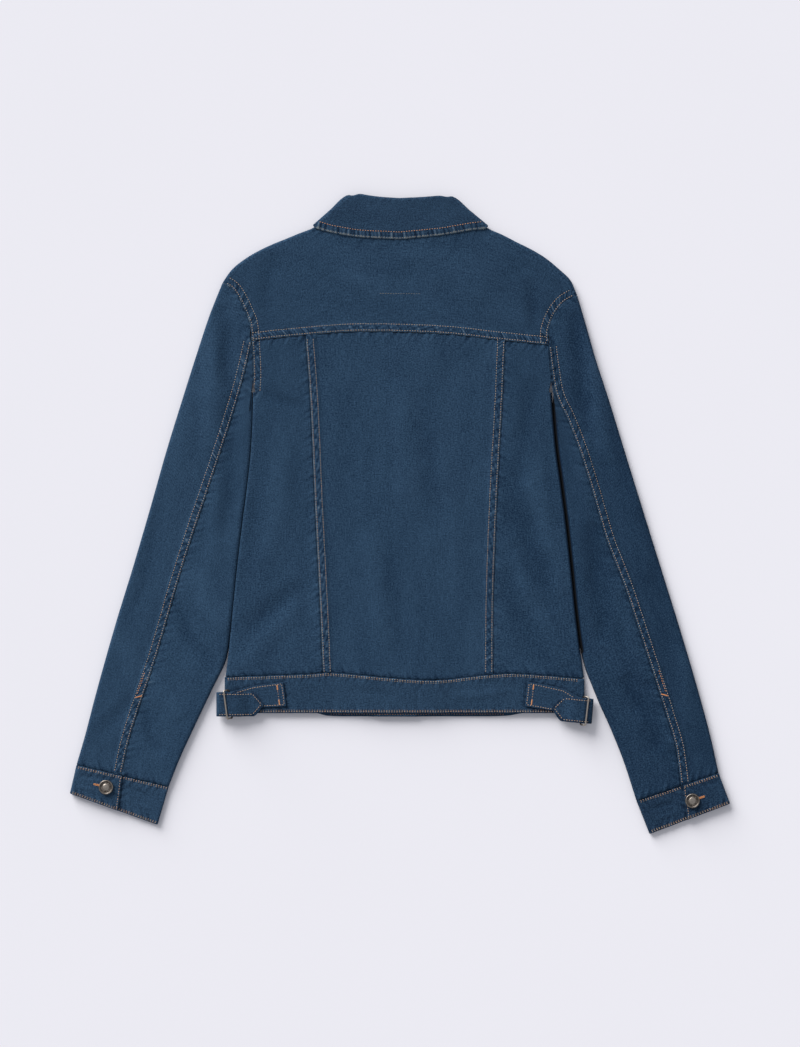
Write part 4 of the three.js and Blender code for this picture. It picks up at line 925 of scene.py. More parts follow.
def seam_lines():
    lines = {
        "yoke": [(x, look_up(YOKE_SEAM, "x", x, "y")) for x in range(-174, 175, 6)],
        "waist": [(x, look_up(WAIST_SEAM, "x", x, "y")) for x in range(-204, 216, 6)],
        "hem": [(WAIST_ENDS["left"], HEM_Y), (WAIST_ENDS["right"], HEM_Y)],
    }
    lines["gap_right"] = [(174.4, 197), *((row["right"] + 0.9, row["y"]) for row in SIDE_LINE[:-1])]
    for side in SIDES:
        c = CUFFS[side]
        lines[f"sewn_strap_{side}"] = sewn_strap_line(TABS[side])
        lines[f"pointed_strap_{side}"] = pointed_strap_line(TABS[side])
        lines[f"princess_{side}"] = [(princess_x(side, y), y) for y in range(-187, 209, 8)]
        lines[f"armhole_{side}"] = [armhole_line(side).at(t) for t in np.linspace(0, 1, 40)]
        seam = Line(seam_places(side))
        lines[f"sleeve_{side}"] = [seam.at(t) for t in np.linspace(0, 1, 90)]
        lines[f"wrist_{side}"] = [c["out_top"], c["in_top"]]
        lines[f"cuff_end_{side}"] = [c["out_end"], c["in_end"]]
        lines[f"flap_{side}"] = [
            mix(c["out_top"], c["in_top"], c["flap"][0]), mix(c["out_end"], c["in_end"], c["flap"][1]),
        ]
    sections = COLLAR_SECTIONS["left"][SIDE_COUNT:] + COLLAR_SECTIONS["right"][SIDE_COUNT:-1][::-1]
    edge = Line([end for _, end, _, _ in sections])
    lines["collar"] = [edge.at(t) for t in np.linspace(0, 1, 60)]
    roll = Line([start for start, _, _, _ in sections])
    lines["roll"] = [roll.at(t) for t in np.linspace(0, 1, 60)]
    return lines


def strap_frame(tab, lean):
    inward = vec(-tab["side"] * math.cos(lean), math.sin(lean))
    across = vec(-inward[1], inward[0])
    return inward, across if across[1] > 0 else -across


def on_strap(tab, lean, u, v):
    """A place on a waist tab: u along it from its slider, v across it."""
    inward, across = strap_frame(tab, lean)
    return shift(shift(tab["slider"], inward, u), across, v)


def sewn_strap_line(tab, inset=0.0):
    start, middle, near = tab["sewn"]
    path = [dict(near, u=12), middle, dict(start, u=start["u"] - inset)]
    upper, lower = ([(p["u"], p["v"] + s * (p["half"] - inset)) for p in path] for s in (1, -1))
    return [on_strap(tab, tab["bar_lean"], *p) for p in [*upper, *lower[::-1]]]


def pointed_strap_line(tab, inset=0.0):
    half, shoulder, tip = tab["half"] - inset, tab["shoulder"] - inset * 0.3, tab["tip"] - inset * 1.3
    path = [(tab["fold"] + 3, half), (shoulder, half), (tip, 0), (shoulder, -half), (tab["fold"] + 3, -half)]
    return [on_strap(tab, tab["strap_lean"], *p) for p in path]


SEAMS = seam_lines()


def slopes(values, knots):
    """Slopes at the knots that let a smooth curve through them without overshoot."""
    step = np.diff(knots)
    rise = np.diff(values, axis=0) / step[:, None]
    result = np.zeros_like(values)
    if len(step) == 1:
        result[:] = rise[0]
        return result
    before, after = rise[:-1], rise[1:]
    with np.errstate(divide="ignore", invalid="ignore"):
        w1, w2 = (2 * step[1:] + step[:-1])[:, None], (step[1:] + 2 * step[:-1])[:, None]
        inner = (w1 + w2) / (w1 / before + w2 / after)
    result[1:-1] = np.where(before * after > 0, inner, 0)
    result[0], result[-1] = rise[0], rise[-1]
    return result


def refine_axis(grid, counts, knots, ends):
    """Points of a grid filled in along its first axis, and the coarse cell of each fine one."""
    shape = grid.shape
    flat = grid.reshape(shape[0], -1)
    m = slopes(flat, knots)
    places, cells = [], []
    for k, count in enumerate(counts):
        shares = list(np.arange(count) / count)
        span = knots[k + 1] - knots[k]
        if k == 0 and ends[0]:
            shares.insert(1, min(ends[0] / span, 0.5 / count))
        if k == len(counts) - 1 and ends[1]:
            shares.append(1 - min(ends[1] / span, 0.5 / count))
        places += [(k, t) for t in shares]
        cells += [k] * len(shares)
    places.append((len(counts) - 1, 1.0))
    k = np.array([p[0] for p in places])
    t = np.array([p[1] for p in places])[:, None]
    span = (knots[k + 1] - knots[k])[:, None]
    fine = (
        (2 * t**3 - 3 * t**2 + 1) * flat[k] + (t**3 - 2 * t**2 + t) * span * m[k]
        + (3 * t**2 - 2 * t**3) * flat[k + 1] + (t**3 - t**2) * span * m[k + 1]
    )
    return fine.reshape(len(places), *shape[1:]), np.array(cells)


EDGE_ROLL = 0.7
CLOSE_SPACING = 1.25


def refine(grid, spacing, present=None, edges=(1, 1, 1, 1), close=((), ())):
    """A fine grid through a coarse one, with a mask of its cells. edges says which ends get a rolled rim,
    and close which rows and columns of cells are filled in more closely, beside a felled seam."""
    coarse = np.array(grid, float)

    def plan(axis):
        chords = np.linalg.norm(np.diff(coarse[..., :3], axis=axis), axis=-1)
        chords = np.moveaxis(chords, axis, 0)
        wanted = np.full(len(chords), spacing)
        wanted[list(close[axis])] = CLOSE_SPACING
        counts = np.maximum(1, np.ceil(chords.max(axis=1) / wanted)).astype(int)
        return counts, np.concatenate([[0], np.cumsum(np.maximum(chords.mean(axis=1), 0.05))])

    row_counts, row_knots = plan(0)
    column_counts, column_knots = plan(1)
    roll = [EDGE_ROLL if e else 0 for e in edges]
    tall, row_cells = refine_axis(coarse, row_counts, row_knots, roll[:2])
    wide, column_cells = refine_axis(np.swapaxes(tall, 0, 1), column_counts, column_knots, roll[2:])
    fine = np.swapaxes(wide, 0, 1)
    mask = np.ones((len(row_cells), len(column_cells)), bool)
    if present:
        for i, row in enumerate(row_cells):
            mask[i] = [present(row, column) for column in column_cells]
    return fine, mask


def cloth_coordinates(places):
    """Even coordinates in metres over a grid of places, across and along."""
    across = np.linalg.norm(np.diff(places, axis=1), axis=-1).mean(axis=0)
    along = np.linalg.norm(np.diff(places, axis=0), axis=-1).mean(axis=1)
    u = np.concatenate([[0], np.cumsum(across)])
    v = np.concatenate([[0], np.cumsum(along)])
    u, v = np.meshgrid(u, v)
    return np.stack([u, v], axis=-1) * MM


def shell_mesh(name, outer, inner, mask, uv, fade, single):
    """A closed wall between two grids of places, with cloth coordinates and attributes for its material.
    A single layer shows the reverse of the cloth on its inner side."""
    rows, columns = outer.shape[:2]
    number = np.arange(rows * columns).reshape(rows, columns)
    back = rows * columns
    padded = np.zeros((rows + 1, columns + 1), bool)
    padded[1:-1, 1:-1] = mask
    here = padded[1:-1, 1:-1]
    a, b = number[:-1, :-1], number[:-1, 1:]
    c, d = number[1:, 1:], number[1:, :-1]
    faces = [
        np.stack([a, b, c, d], -1)[here],
        np.stack([a, d, c, b], -1)[here] + back,
    ]
    for missing, p, q in (
        (~padded[:-2, 1:-1], b, a), (~padded[1:-1, 2:], c, b), (~padded[2:, 1:-1], d, c),
        (~padded[1:-1, :-2], a, d),
    ):
        rim = here & missing
        faces.append(np.stack([p, q, q + back, p + back], -1)[rim])
    faces = np.concatenate(faces)
    places = np.concatenate([outer.reshape(-1, 3), inner.reshape(-1, 3)])
    p = places[faces]
    volume = np.einsum("ij,ij->i", p[:, 0], np.cross(p[:, 1], p[:, 2])).sum()
    volume += np.einsum("ij,ij->i", p[:, 0], np.cross(p[:, 2], p[:, 3])).sum()
    if volume < 0:
        faces = faces[:, ::-1]
    used, faces = np.unique(faces, return_inverse=True)
    faces = faces.reshape(-1, 4)
    mesh = bpy.data.meshes.new(name)
    mesh.from_pydata((places[used] * MM).tolist(), [], faces.tolist())
    uv_all = np.concatenate([uv.reshape(-1, 2)] * 2)[used]
    layer = mesh.uv_layers.new(name="cloth")
    layer.data.foreach_set("uv", uv_all[faces.ravel()].astype(np.float32).ravel())
    inside = (used >= back).astype(np.float32) * float(single)
    # The fade attribute carries wear, and painted shade where it falls below zero
    wear_and_shade_all = np.concatenate([fade.ravel(), fade.ravel() * 0.3])[used]
    for key, values in (("inside", inside), ("fade", wear_and_shade_all)):
        attribute = mesh.attributes.new(key, "FLOAT", "POINT")
        attribute.data.foreach_set("value", values.astype(np.float32))
    mesh.polygons.foreach_set("use_smooth", [True] * len(mesh.polygons))
    mesh.update()
    piece = bpy.data.objects.new(name, mesh)
    bpy.context.scene.collection.objects.link(piece)
    return piece


# How each kind of seam works on the cloth: height and reach of its puckers, their change of colour by wear,
# the painted shade of the groove along its edge, and the painted shade in the dip of its stitch rows beside
# it
PUCKER = table(
    "kind rise reach wear line sewn",
    ("yoke", 0.46, 9, 0.8, 0.35, 0), ("waist", 0.55, 8, 0.8, 0.3, 0.25), ("hem", 0.4, 7, 0.8, 0, 0.3),
    ("princess", 0.46, 9, 0.8, 0.35, 0), ("armhole", 0.48, 9, 0.8, 0.3, 0), ("sleeve", 0.5, 9, 0.8, 0.35, 0),
    ("wrist", 0.55, 9, 0.9, 0.25, 0.25), ("cuff_end", 0.45, 8, 1.1, 0, 0.3), ("flap", 0.35, 6, 0.9, 0.1, 0.2),
    ("collar", 0.12, 12, 0.6, 0, 0), ("roll", 0.12, 9, 0.3, 0, 0),
    ("sewn_strap", 0.12, 6, 0.6, 0.5, 0.2), ("pointed_strap", 0.14, 6, 0.6, 0.5, 0.2),
)
# Pieces whose cloth down in the gap beside the right sleeve is painted near black, as painted shadow
PAINTED_GAP_SHADOWS = {"back_side_right": ("gap_right",), "sleeve_lower_right": ("gap_right",)}
ROWS = (1.7, 8.7)        # the two rows of topstitching on a felled seam, from its edge
SUNK = 0.22              # how deep the rows pull the cloth in
# Painted shade in the rows where the stitches pull the cloth in
SUNK_PAINTED_SHADE = 0.35
EDGE_BAND = 8.2          # the collar's stitches, from its edge


def relief(x, y, folds, felled, plain, seed):
    """Height, and the fade of wear and painted shade, at places on the upper side of a piece. A felled seam
    is on this piece's side.
    """
    folded = fold_height(folds, x, y)
    height = folded + 0.16 * waver(x, y, 95, seed) + 0.07 * waver(x, y, 37, seed + 2.1)
    # The fold ridges are lighter as wear and the troughs darker as painted shade; the slow waver is the wash
    fade = 0.16 * folded + 0.05 * waver(x, y, 70, seed + 4.4)
    for k, name in enumerate([*felled, *plain]):
        kind = name.removesuffix("_left").removesuffix("_right")
        p = next(row for row in PUCKER if row["kind"] == kind)
        d, along = to_line(x, y, SEAMS[name])
        wave = ripple(along + 0.6 * d, seed + 1.3 * k)
        near = np.exp(-(d / p["reach"]) ** 2)
        height = height + p["rise"] * wave * near
        fade = fade + 0.7 * p["wear"] * wave * near
        if name in felled:
            band = soft((d - ROWS[0]) / 1.5) * soft((ROWS[1] + 0.6 - d) / 1.5)
            pulled = sum(np.exp(-((d - row) / 0.7) ** 2) for row in ROWS)
            height = height - SUNK * pulled
            sharp = ripple(2.1 * along + 1.5 * d, seed + 3.1 * k)
            height = height + 0.12 * sharp * band
            # Painted shade in the sunk rows of stitches; the light rim at the fold and the roping between the
            # rows are wear
            dark = SUNK_PAINTED_SHADE * pulled * (1 - 0.5 * sharp)
            fade = fade + 0.9 * np.exp(-(d / 0.9) ** 2) + band * (1.15 * sharp - 0.12) - dark
        else:
            # Painted shade: a dark line in the groove along the seam, and in the dip of its row of stitches
            fade = fade - p["line"] * np.exp(-(d / 1.5) ** 2) - p["sewn"] * np.exp(-((d - 2.3) / 1.5) ** 2)
            height = height - 0.22 * np.exp(-(d / 1.8) ** 2)
    return height, np.clip(fade, -1, 1.3)


def doubled_edge(x, y, seams, seed):
    """Thins doubled cloth towards its edges, with a worn rim, even pleats inside the edge's stitches, and
    painted shade along the row of those stitches.
    """
    height, fade = np.zeros(np.shape(x)), np.zeros(np.shape(x))
    for k, name in enumerate(seams):
        d, along = to_line(x, y, SEAMS[name])
        inside = soft((EDGE_BAND - d) / 1.6)
        wave = ripple(1.5 * along + 0.2 * d, seed + 2.3 * k)
        pulled = np.exp(-((d - EDGE_BAND) / 0.8) ** 2)
        height = height - 1.1 * np.exp(-(d / 2.6) ** 2) + 0.3 * wave * inside
        # The rim and the pleats are wear; the row of stitches is painted darker, as painted shade
        fade = fade + 1.4 * np.exp(-((d - 0.6) / 1.5) ** 2) + 1.2 * wave * inside - 0.4 * pulled
    return height, fade


def cloth_piece(name, grid, present, spacing, seed=0.0, folds=(), felled=(), plain=(), thickness=CLOTH,
                edges=(1, 1, 1, 1), close=((), ()), painted_piece_shade=0.0, single=True, doubled=(), shadowed_gaps=()):
    """One cut piece of cloth: its grid refined, creased, puckered at its seams and given its thickness."""
    fine, mask = refine(grid, spacing, present, edges, close)
    places, out = fine[..., :3].copy(), fine[..., 3:]
    out = out / np.linalg.norm(out, axis=-1, keepdims=True)
    uv = cloth_coordinates(places)
    x, y = places[..., 0].copy(), places[..., 1].copy()
    height, fade = relief(x, y, folds, felled, plain, seed)
    edge_height, edge_fade = doubled_edge(x, y, doubled, seed)
    height, fade = height + edge_height, fade + edge_fade
    upward = soft((out[..., 2] - 0.35) / 0.6)
    press = fold_height(UNDER_FOLDS, x, y) * soft((-out[..., 2] - 0.6) / 0.4)
    places[..., 2] += height * upward + press
    low = np.zeros(places.shape[:2])
    rubbed = np.zeros(places.shape[:2])
    for wanted, index in zip(edges, (np.s_[0, :], np.s_[-1, :], np.s_[:, 0], np.s_[:, -1])):
        if wanted:
            low[index] = 0.38
            rubbed[index] = 0.3
    outer = places - out * low[..., None]
    inner = places - out * thickness
    # Painted shade: each piece's own offset, and the cloth painted darker towards the jacket's right, away
    # from the light
    painted_shade = painted_piece_shade - 0.34 * soft((x - 60) / 260)
    # Painted shadow: cloth facing down or sideways within 4 mm of the gap is pushed far below the rest, to
    # near black
    for gap in shadowed_gaps:
        d, _ = to_line(x, y, SEAMS[gap])
        painted_shade = painted_shade - 3 * soft((4 - d) / 2) * soft((0.93 - out[..., 2]) / 0.4)
    return shell_mesh(name, outer, inner, mask, uv, fade * upward + rubbed + painted_shade, single)


def collar_grid():
    outer, inner = collar_rows()
    out = outer - inner
    out = out / np.linalg.norm(out, axis=-1, keepdims=True)
    return np.concatenate([outer, out], axis=-1), None


# Waist tabs
def strap_grid(tab, lean, stations):
    """A strap along a path seen from its side: u along it, z up, v and half its place and width."""
    inward, across = strap_frame(tab, lean)
    rows = []
    for k, s in enumerate(stations):
        a, b = stations[max(0, k - 1)], stations[min(len(stations) - 1, k + 1)]
        du, dz = unit((b["u"] - a["u"], b["z"] - a["z"]))
        out = [-dz * inward[0], -dz * inward[1], du]
        row = []
        for edge in (-1, -0.5, 0, 0.5, 1):
            u, z = s["u"] - dz * STRAP / 2, s["z"] + du * STRAP / 2
            p = shift(shift(tab["slider"], inward, u), across, s["v"] + edge * s["half"])
            row.append([p[0], p[1], z, *out])
        rows.append(row)
    return rows


def turn_around(u, z, radius, rest, count=6):
    """Half a turn of a strap from under something thin, round it and over it."""
    angles = [lerp(-math.pi / 2, -1.5 * math.pi, t) for t in steps(count)]
    return [dict(u=u + radius * math.cos(a), z=z + radius * math.sin(a), **rest) for a in angles]


def tab_grids(side):
    tab = TABS[side]
    rest_z = BAND_SIDE_TOP + SEAM_GAP + STRAP / 2
    low_u, low_z = SLIDER["low_u"], SLIDER["low_z"]
    start, middle, near = tab["sewn"]
    width = dict(v=near["v"], half=near["half"])
    layer = STRAP + SEAM_GAP
    sewn = [
        dict(u=start["u"], z=rest_z, v=start["v"], half=start["half"]),
        dict(u=middle["u"], z=rest_z, v=middle["v"], half=middle["half"]),
        *turn_around(low_u, low_z, low_z - rest_z, width),
        dict(u=low_u + 6, z=2 * low_z - rest_z - 0.5, **width),
        dict(u=low_u + 11, z=rest_z + layer, **width),
        dict(u=low_u + 15, z=rest_z + layer, **width),
    ]
    over = 2 * low_z - rest_z + layer
    second = rest_z + layer + 0.1
    full = dict(v=0, half=tab["half"])
    start_u = tab["side"] * (tab["slider"][0] - WAIST_ENDS[side]) - 0.6
    pointed = [
        dict(u=start_u, z=STRAP_LOW, **full),
        *turn_around(tab["fold"] + STRAP_BEND + STRAP / 2, STRAP_LOW + STRAP_BEND, STRAP_BEND, full),
        dict(u=-1.6, z=STRAP_LOW + 2 * STRAP_BEND - 0.3, **full),
        dict(u=1.6, z=over, **full),
        dict(u=low_u + 6.5, z=over, **full),
        dict(u=low_u + 16.5, z=second + layer, **full),
        dict(u=low_u + 21, z=second + 0.2, **full),
        dict(u=tab["shoulder"], z=second, **full),
        dict(u=tab["tip"], z=second, v=0, half=0.8),
    ]
    return strap_grid(tab, tab["bar_lean"], sewn), strap_grid(tab, tab["strap_lean"], pointed)


# Materials
class Value:
    """A socket of a material's nodes, with arithmetic that adds the nodes it needs."""

    def __init__(self, tree, socket):
        self.tree = tree
        self.socket = socket

    def _math(self, operation, *values):
        return self.node("ShaderNodeMath", dict(operation=operation), *values).output(0)

    def node(self, kind, settings=None, *values, **named):
        made = self.tree.nodes.new(kind)
        for key, value in (settings or {}).items():
            setattr(made, key, value)
        result = Node(self.tree, made)
        for k, value in enumerate(values):
            result.feed(made.inputs[k], value)
        for key, value in named.items():
            result.feed(made.inputs[key.replace("_", " ")], value)
        return result

    def __add__(self, other):
        return self._math("ADD", self, other)

    def __sub__(self, other):
        return self._math("SUBTRACT", self, other)

    def __mul__(self, other):
        return self._math("MULTIPLY", self, other)

    def __rsub__(self, other):
        return self._math("SUBTRACT", other, self)

    def clear_of(self, low, high):
        """0 up to low and 1 from high on, straight between them."""
        return ((self - low) * (1 / (high - low))).limited()

    __radd__ = __add__
    __rmul__ = __mul__

    def wave(self):
        return self._math("SINE", self)

    def power(self, exponent):
        return self._math("POWER", self, exponent)

    def between(self, low, high):
        """0 at low, 1 at high, smooth between them."""
        made = self.node("ShaderNodeMapRange", dict(interpolation_type="SMOOTHSTEP"), self, low, high)
        return made.output(0)

    def limited(self):
        return self.node("ShaderNodeClamp", None, self).output(0)


class Node:
    """A made node, whose sockets take values, colours or links."""

    def __init__(self, tree, made):
        self.tree = tree
        self.made = made

    def feed(self, socket, value):
        if isinstance(value, Value):
            self.tree.links.new(value.socket, socket)
        elif hasattr(socket.default_value, "__len__"):
            wanted = len(socket.default_value)
            socket.default_value = (*value, 1.0)[:wanted]
        else:
            socket.default_value = value

    def output(self, which):
        return Value(self.tree, self.made.outputs[which])


def new_material(name, **plain):
    """A material with plain numbers on its shader's own sockets, and a value to start an expression from."""
    material = bpy.data.materials.new(name)
    material.use_nodes = True
    tree = material.node_tree
    shader = tree.nodes["Principled BSDF"]
    for key, value in plain.items():
        shader.inputs[key.replace("_", " ")].default_value = value
    start = Value(tree, None)
    return material, start, Node(tree, shader)


def attribute(start, name):
    return start.node("ShaderNodeAttribute", dict(attribute_name=name)).output("Fac")


def stretched_noise(start, vector, scale, detail=2.0, roughness=0.5):
    """Noise over cloth coordinates, with its own scale each way, in cycles to the metre."""
    placed = start.node("ShaderNodeMapping", None, Vector=vector, Scale=scale).output(0)
    made = start.node(
        "ShaderNodeTexNoise", None, Vector=placed, Scale=1.0, Detail=detail, Roughness=roughness
    )
    return made.output(0)


def two_tone(start, factor, low, high):
    made = start.node("ShaderNodeMix", dict(data_type="RGBA"))
    made.feed(made.made.inputs["Factor"], factor)
    made.feed(made.made.inputs[6], low)
    made.feed(made.made.inputs[7], high)
    return made.output(2)


TWILL_PITCH = 1.15
YARN = 0.62


def denim(name, dark, settings):
    """Washed twill: diagonal ribs, uneven yarns, a mottled wash, and wear and painted shade where the fade
    attribute says.
    """
    material, start, shader = new_material(
        name, Roughness=0.88, Sheen_Weight=0.02, Sheen_Roughness=0.5, Specular_IOR_Level=0.12,
    )
    cloth = start.node("ShaderNodeUVMap", dict(uv_map="cloth")).output(0)
    split = start.node("ShaderNodeSeparateXYZ", None, cloth)
    u, v = split.output(0), split.output(1)
    cycle = 2 * math.pi / (TWILL_PITCH * MM)
    sway = stretched_noise(start, cloth, (180, 180, 1)) * 2.2
    rib = ((u * 0.8 + v * 0.6) * cycle + sway).wave()
    warp = stretched_noise(start, cloth, (1 / (YARN * MM), 70, 1), 2.0, 0.6)
    weft = stretched_noise(start, cloth, (90, 1 / (YARN * MM), 1), 2.0, 0.6)
    fleck = stretched_noise(start, cloth, (620, 620, 1), 3.0, 0.7)
    wash = stretched_noise(start, cloth, (44, 9, 1), 4.0, 0.6)
    fade = attribute(start, "fade")
    tone = (
        0.44 + (warp - 0.5) * 0.9 + (weft - 0.5) * 0.6 + (fleck - 0.5) * 2.3 + rib * 0.06
        + (wash - 0.5) * 0.35 + fade * 0.55
    )
    colour = two_tone(start, tone.limited(), dark, settings.denim_faded)
    worn = fade.clear_of(0.5, 1.5) + (fleck - 0.5) * 0.9 * fade.clear_of(0.5, 0.8)
    colour = two_tone(start, worn.limited(), colour, settings.denim_worn)
    # Painted shadow: where the fade falls far below zero, the cloth turns near black
    colour = two_tone(start, fade.clear_of(-1.2, -2.0), colour, settings.denim_deep)
    inside = attribute(start, "inside").between(0.3, 0.7)
    colour = two_tone(start, inside, colour, settings.denim_reverse)
    shader.feed(shader.made.inputs["Base Color"], colour)
    shader.feed(shader.made.inputs["Roughness"], 0.92 - tone.limited() * 0.14)
    height = rib * 0.35 + warp * 0.9 + weft * 0.6 + fleck * 0.5
    bump = start.node("ShaderNodeBump", None, Strength=0.55, Distance=0.00035, Height=height)
    shader.feed(shader.made.inputs["Normal"], bump.output(0))
    return material


def thread(name, dull, bright):
    """Twisted sewing thread, from faded to bright as its tint attribute says."""
    material, start, shader = new_material(name, Roughness=0.6, Sheen_Weight=0.2, Specular_IOR_Level=0.35)
    place = start.node("ShaderNodeTexCoord").output("Object")
    mottle = stretched_noise(start, place, (260, 260, 260), 3.0, 0.6)
    twist = stretched_noise(start, place, (2400, 2400, 2400), 1.0)
    tint = attribute(start, "tint")
    colour = two_tone(start, (tint + (mottle - 0.5) * 0.7).limited(), dull, bright)
    shader.feed(shader.made.inputs["Base Color"], colour)
    shader.feed(shader.made.inputs["Roughness"], 0.5 + mottle * 0.3)
    bump = start.node("ShaderNodeBump", None, Strength=0.6, Distance=0.0001, Height=twist)
    shader.feed(shader.made.inputs["Normal"], bump.output(0))
    return material


def brass(name, bright, dark):
    """Antique brass, dark in its hollows and rubbed bright where it stands proud; on the sliders, painted
    highlight on the high wire and painted shade on the low one.
    """
    material, start, shader = new_material(name, Metallic=0.92)
    place = start.node("ShaderNodeTexCoord").output("Object")
    patina = stretched_noise(start, place, (420, 420, 420), 5.0, 0.65)
    fine = stretched_noise(start, place, (2600, 2600, 2600), 2.0, 0.6)
    rub = attribute(start, "rub")
    worn = (rub * 0.9 + (patina - 0.5) * 1.1 + (fine - 0.5) * 0.35).limited()
    colour = two_tone(start, worn, dark, bright)
    shader.feed(shader.made.inputs["Base Color"], colour)
    shader.feed(shader.made.inputs["Roughness"], 0.52 - worn * 0.22)
    bump = start.node("ShaderNodeBump", None, Strength=0.35, Distance=0.00015, Height=patina + fine * 0.5)
    shader.feed(shader.made.inputs["Normal"], bump.output(0))
    return material


def plain_floor(name, colour):
    material, start, shader = new_material(name, Roughness=0.95, Specular_IOR_Level=0.1)
    place = start.node("ShaderNodeTexCoord").output("Object")
    mottle = stretched_noise(start, place, (3, 3, 3), 2.0)
    light = tuple(min(1.0, c * 1.015) for c in colour[:3])
    shader.feed(shader.made.inputs["Base Color"], two_tone(start, mottle, colour[:3], light))
    return material


# Shared finishing
def deselect():
    for o in bpy.context.selected_objects:
        o.select_set(False)


def finish_piece(piece, material, slot, *nodes):
    """Gives a made piece its material and its body, and hides the solids that it stands for. The slot is not
    used.
    """
    piece.data.materials.clear()
    piece.data.materials.append(material)
    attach(piece, "root")
    if nodes:
        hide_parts(*nodes)
    return piece


def paint_of(settings, key):
    """The material for a slot or for thread, made the first time it is asked for."""
    name = f"{key}_finish"
    made = bpy.data.materials.get(name)
    if made:
        return made
    if key == "denim":
        return denim(name, settings.denim_dark, settings)
    if key == "denim_trim":
        return denim(name, settings.trim_dark, settings)
    if key == "thread":
        return thread(name, settings.thread_faded, settings.thread_bright)
    return brass(name, settings.brass_bright, settings.brass_dark)


def cut_area(grid, present):
    """Flat area of a piece as it was cut, in square metres, from its grid before creases and puckers."""
    places = np.array(grid, float)[..., :3] * MM
    a, b, c, d = places[:-1, :-1], places[:-1, 1:], places[1:, 1:], places[1:, :-1]
    cells = np.linalg.norm(np.cross(b - a, c - a), axis=-1) / 2
    cells = cells + np.linalg.norm(np.cross(c - a, d - a), axis=-1) / 2
    if present:
        shown = [[present(row, column) for column in range(cells.shape[1])] for row in range(cells.shape[0])]
        cells = np.where(shown, cells, 0)
    return float(cells.sum())


def declare_cloth(grid, present=None):
    """Works out the flat area of the piece's grid as it was cut, before creases; the result is not kept."""
    cut_area(grid, present)


# Stitches
STITCH = 1.8
STITCH_PITCH = 3.0
THREAD = 0.74


class Casting:
    """Finds the upper or under side of made pieces at a place."""

    def __init__(self, names, under=False):
        places, faces = [], []
        for name in names:
            mesh = bpy.data.objects[name].data
            first = len(places)
            places += [v.co.copy() for v in mesh.vertices]
            faces += [[first + k for k in polygon.vertices] for polygon in mesh.polygons]
        self.tree = BVHTree.FromPolygons(places, faces)
        self.way = 1 if under else -1

    def hit(self, p):
        start = Vector((p[0] * MM, p[1] * MM, -0.06 * self.way))
        place, normal, _, _ = self.tree.ray_cast(start, Vector((0, 0, self.way)))
        if place is None:
            return None
        if normal.z * self.way > 0:
            normal = -normal
        return np.array(place) / MM, np.array(normal)


def stitch_seed():
    """One stitch, modelled once: a ball pulled out along X, with its ends sunk."""
    deselect()
    bpy.ops.mesh.primitive_uv_sphere_add(segments=6, ring_count=5, radius=0.5, location=(0, 0, 0),
                                         rotation=(0, math.pi / 2, 0))
    seed = bpy.context.active_object
    bpy.ops.object.transform_apply(location=False, rotation=True, scale=False)
    bpy.ops.object.mode_set(mode="EDIT")
    bpy.ops.mesh.select_all(action="SELECT")
    bpy.ops.transform.resize(value=(STITCH, THREAD, THREAD * 0.75))
    bpy.ops.object.mode_set(mode="OBJECT")
    places = np.array([v.co for v in seed.data.vertices])
    places[:, 2] -= 0.22 * np.abs(places[:, 0] / (STITCH / 2)) ** 3
    faces = [list(p.vertices) for p in seed.data.polygons]
    bpy.data.objects.remove(seed)
    return places, faces


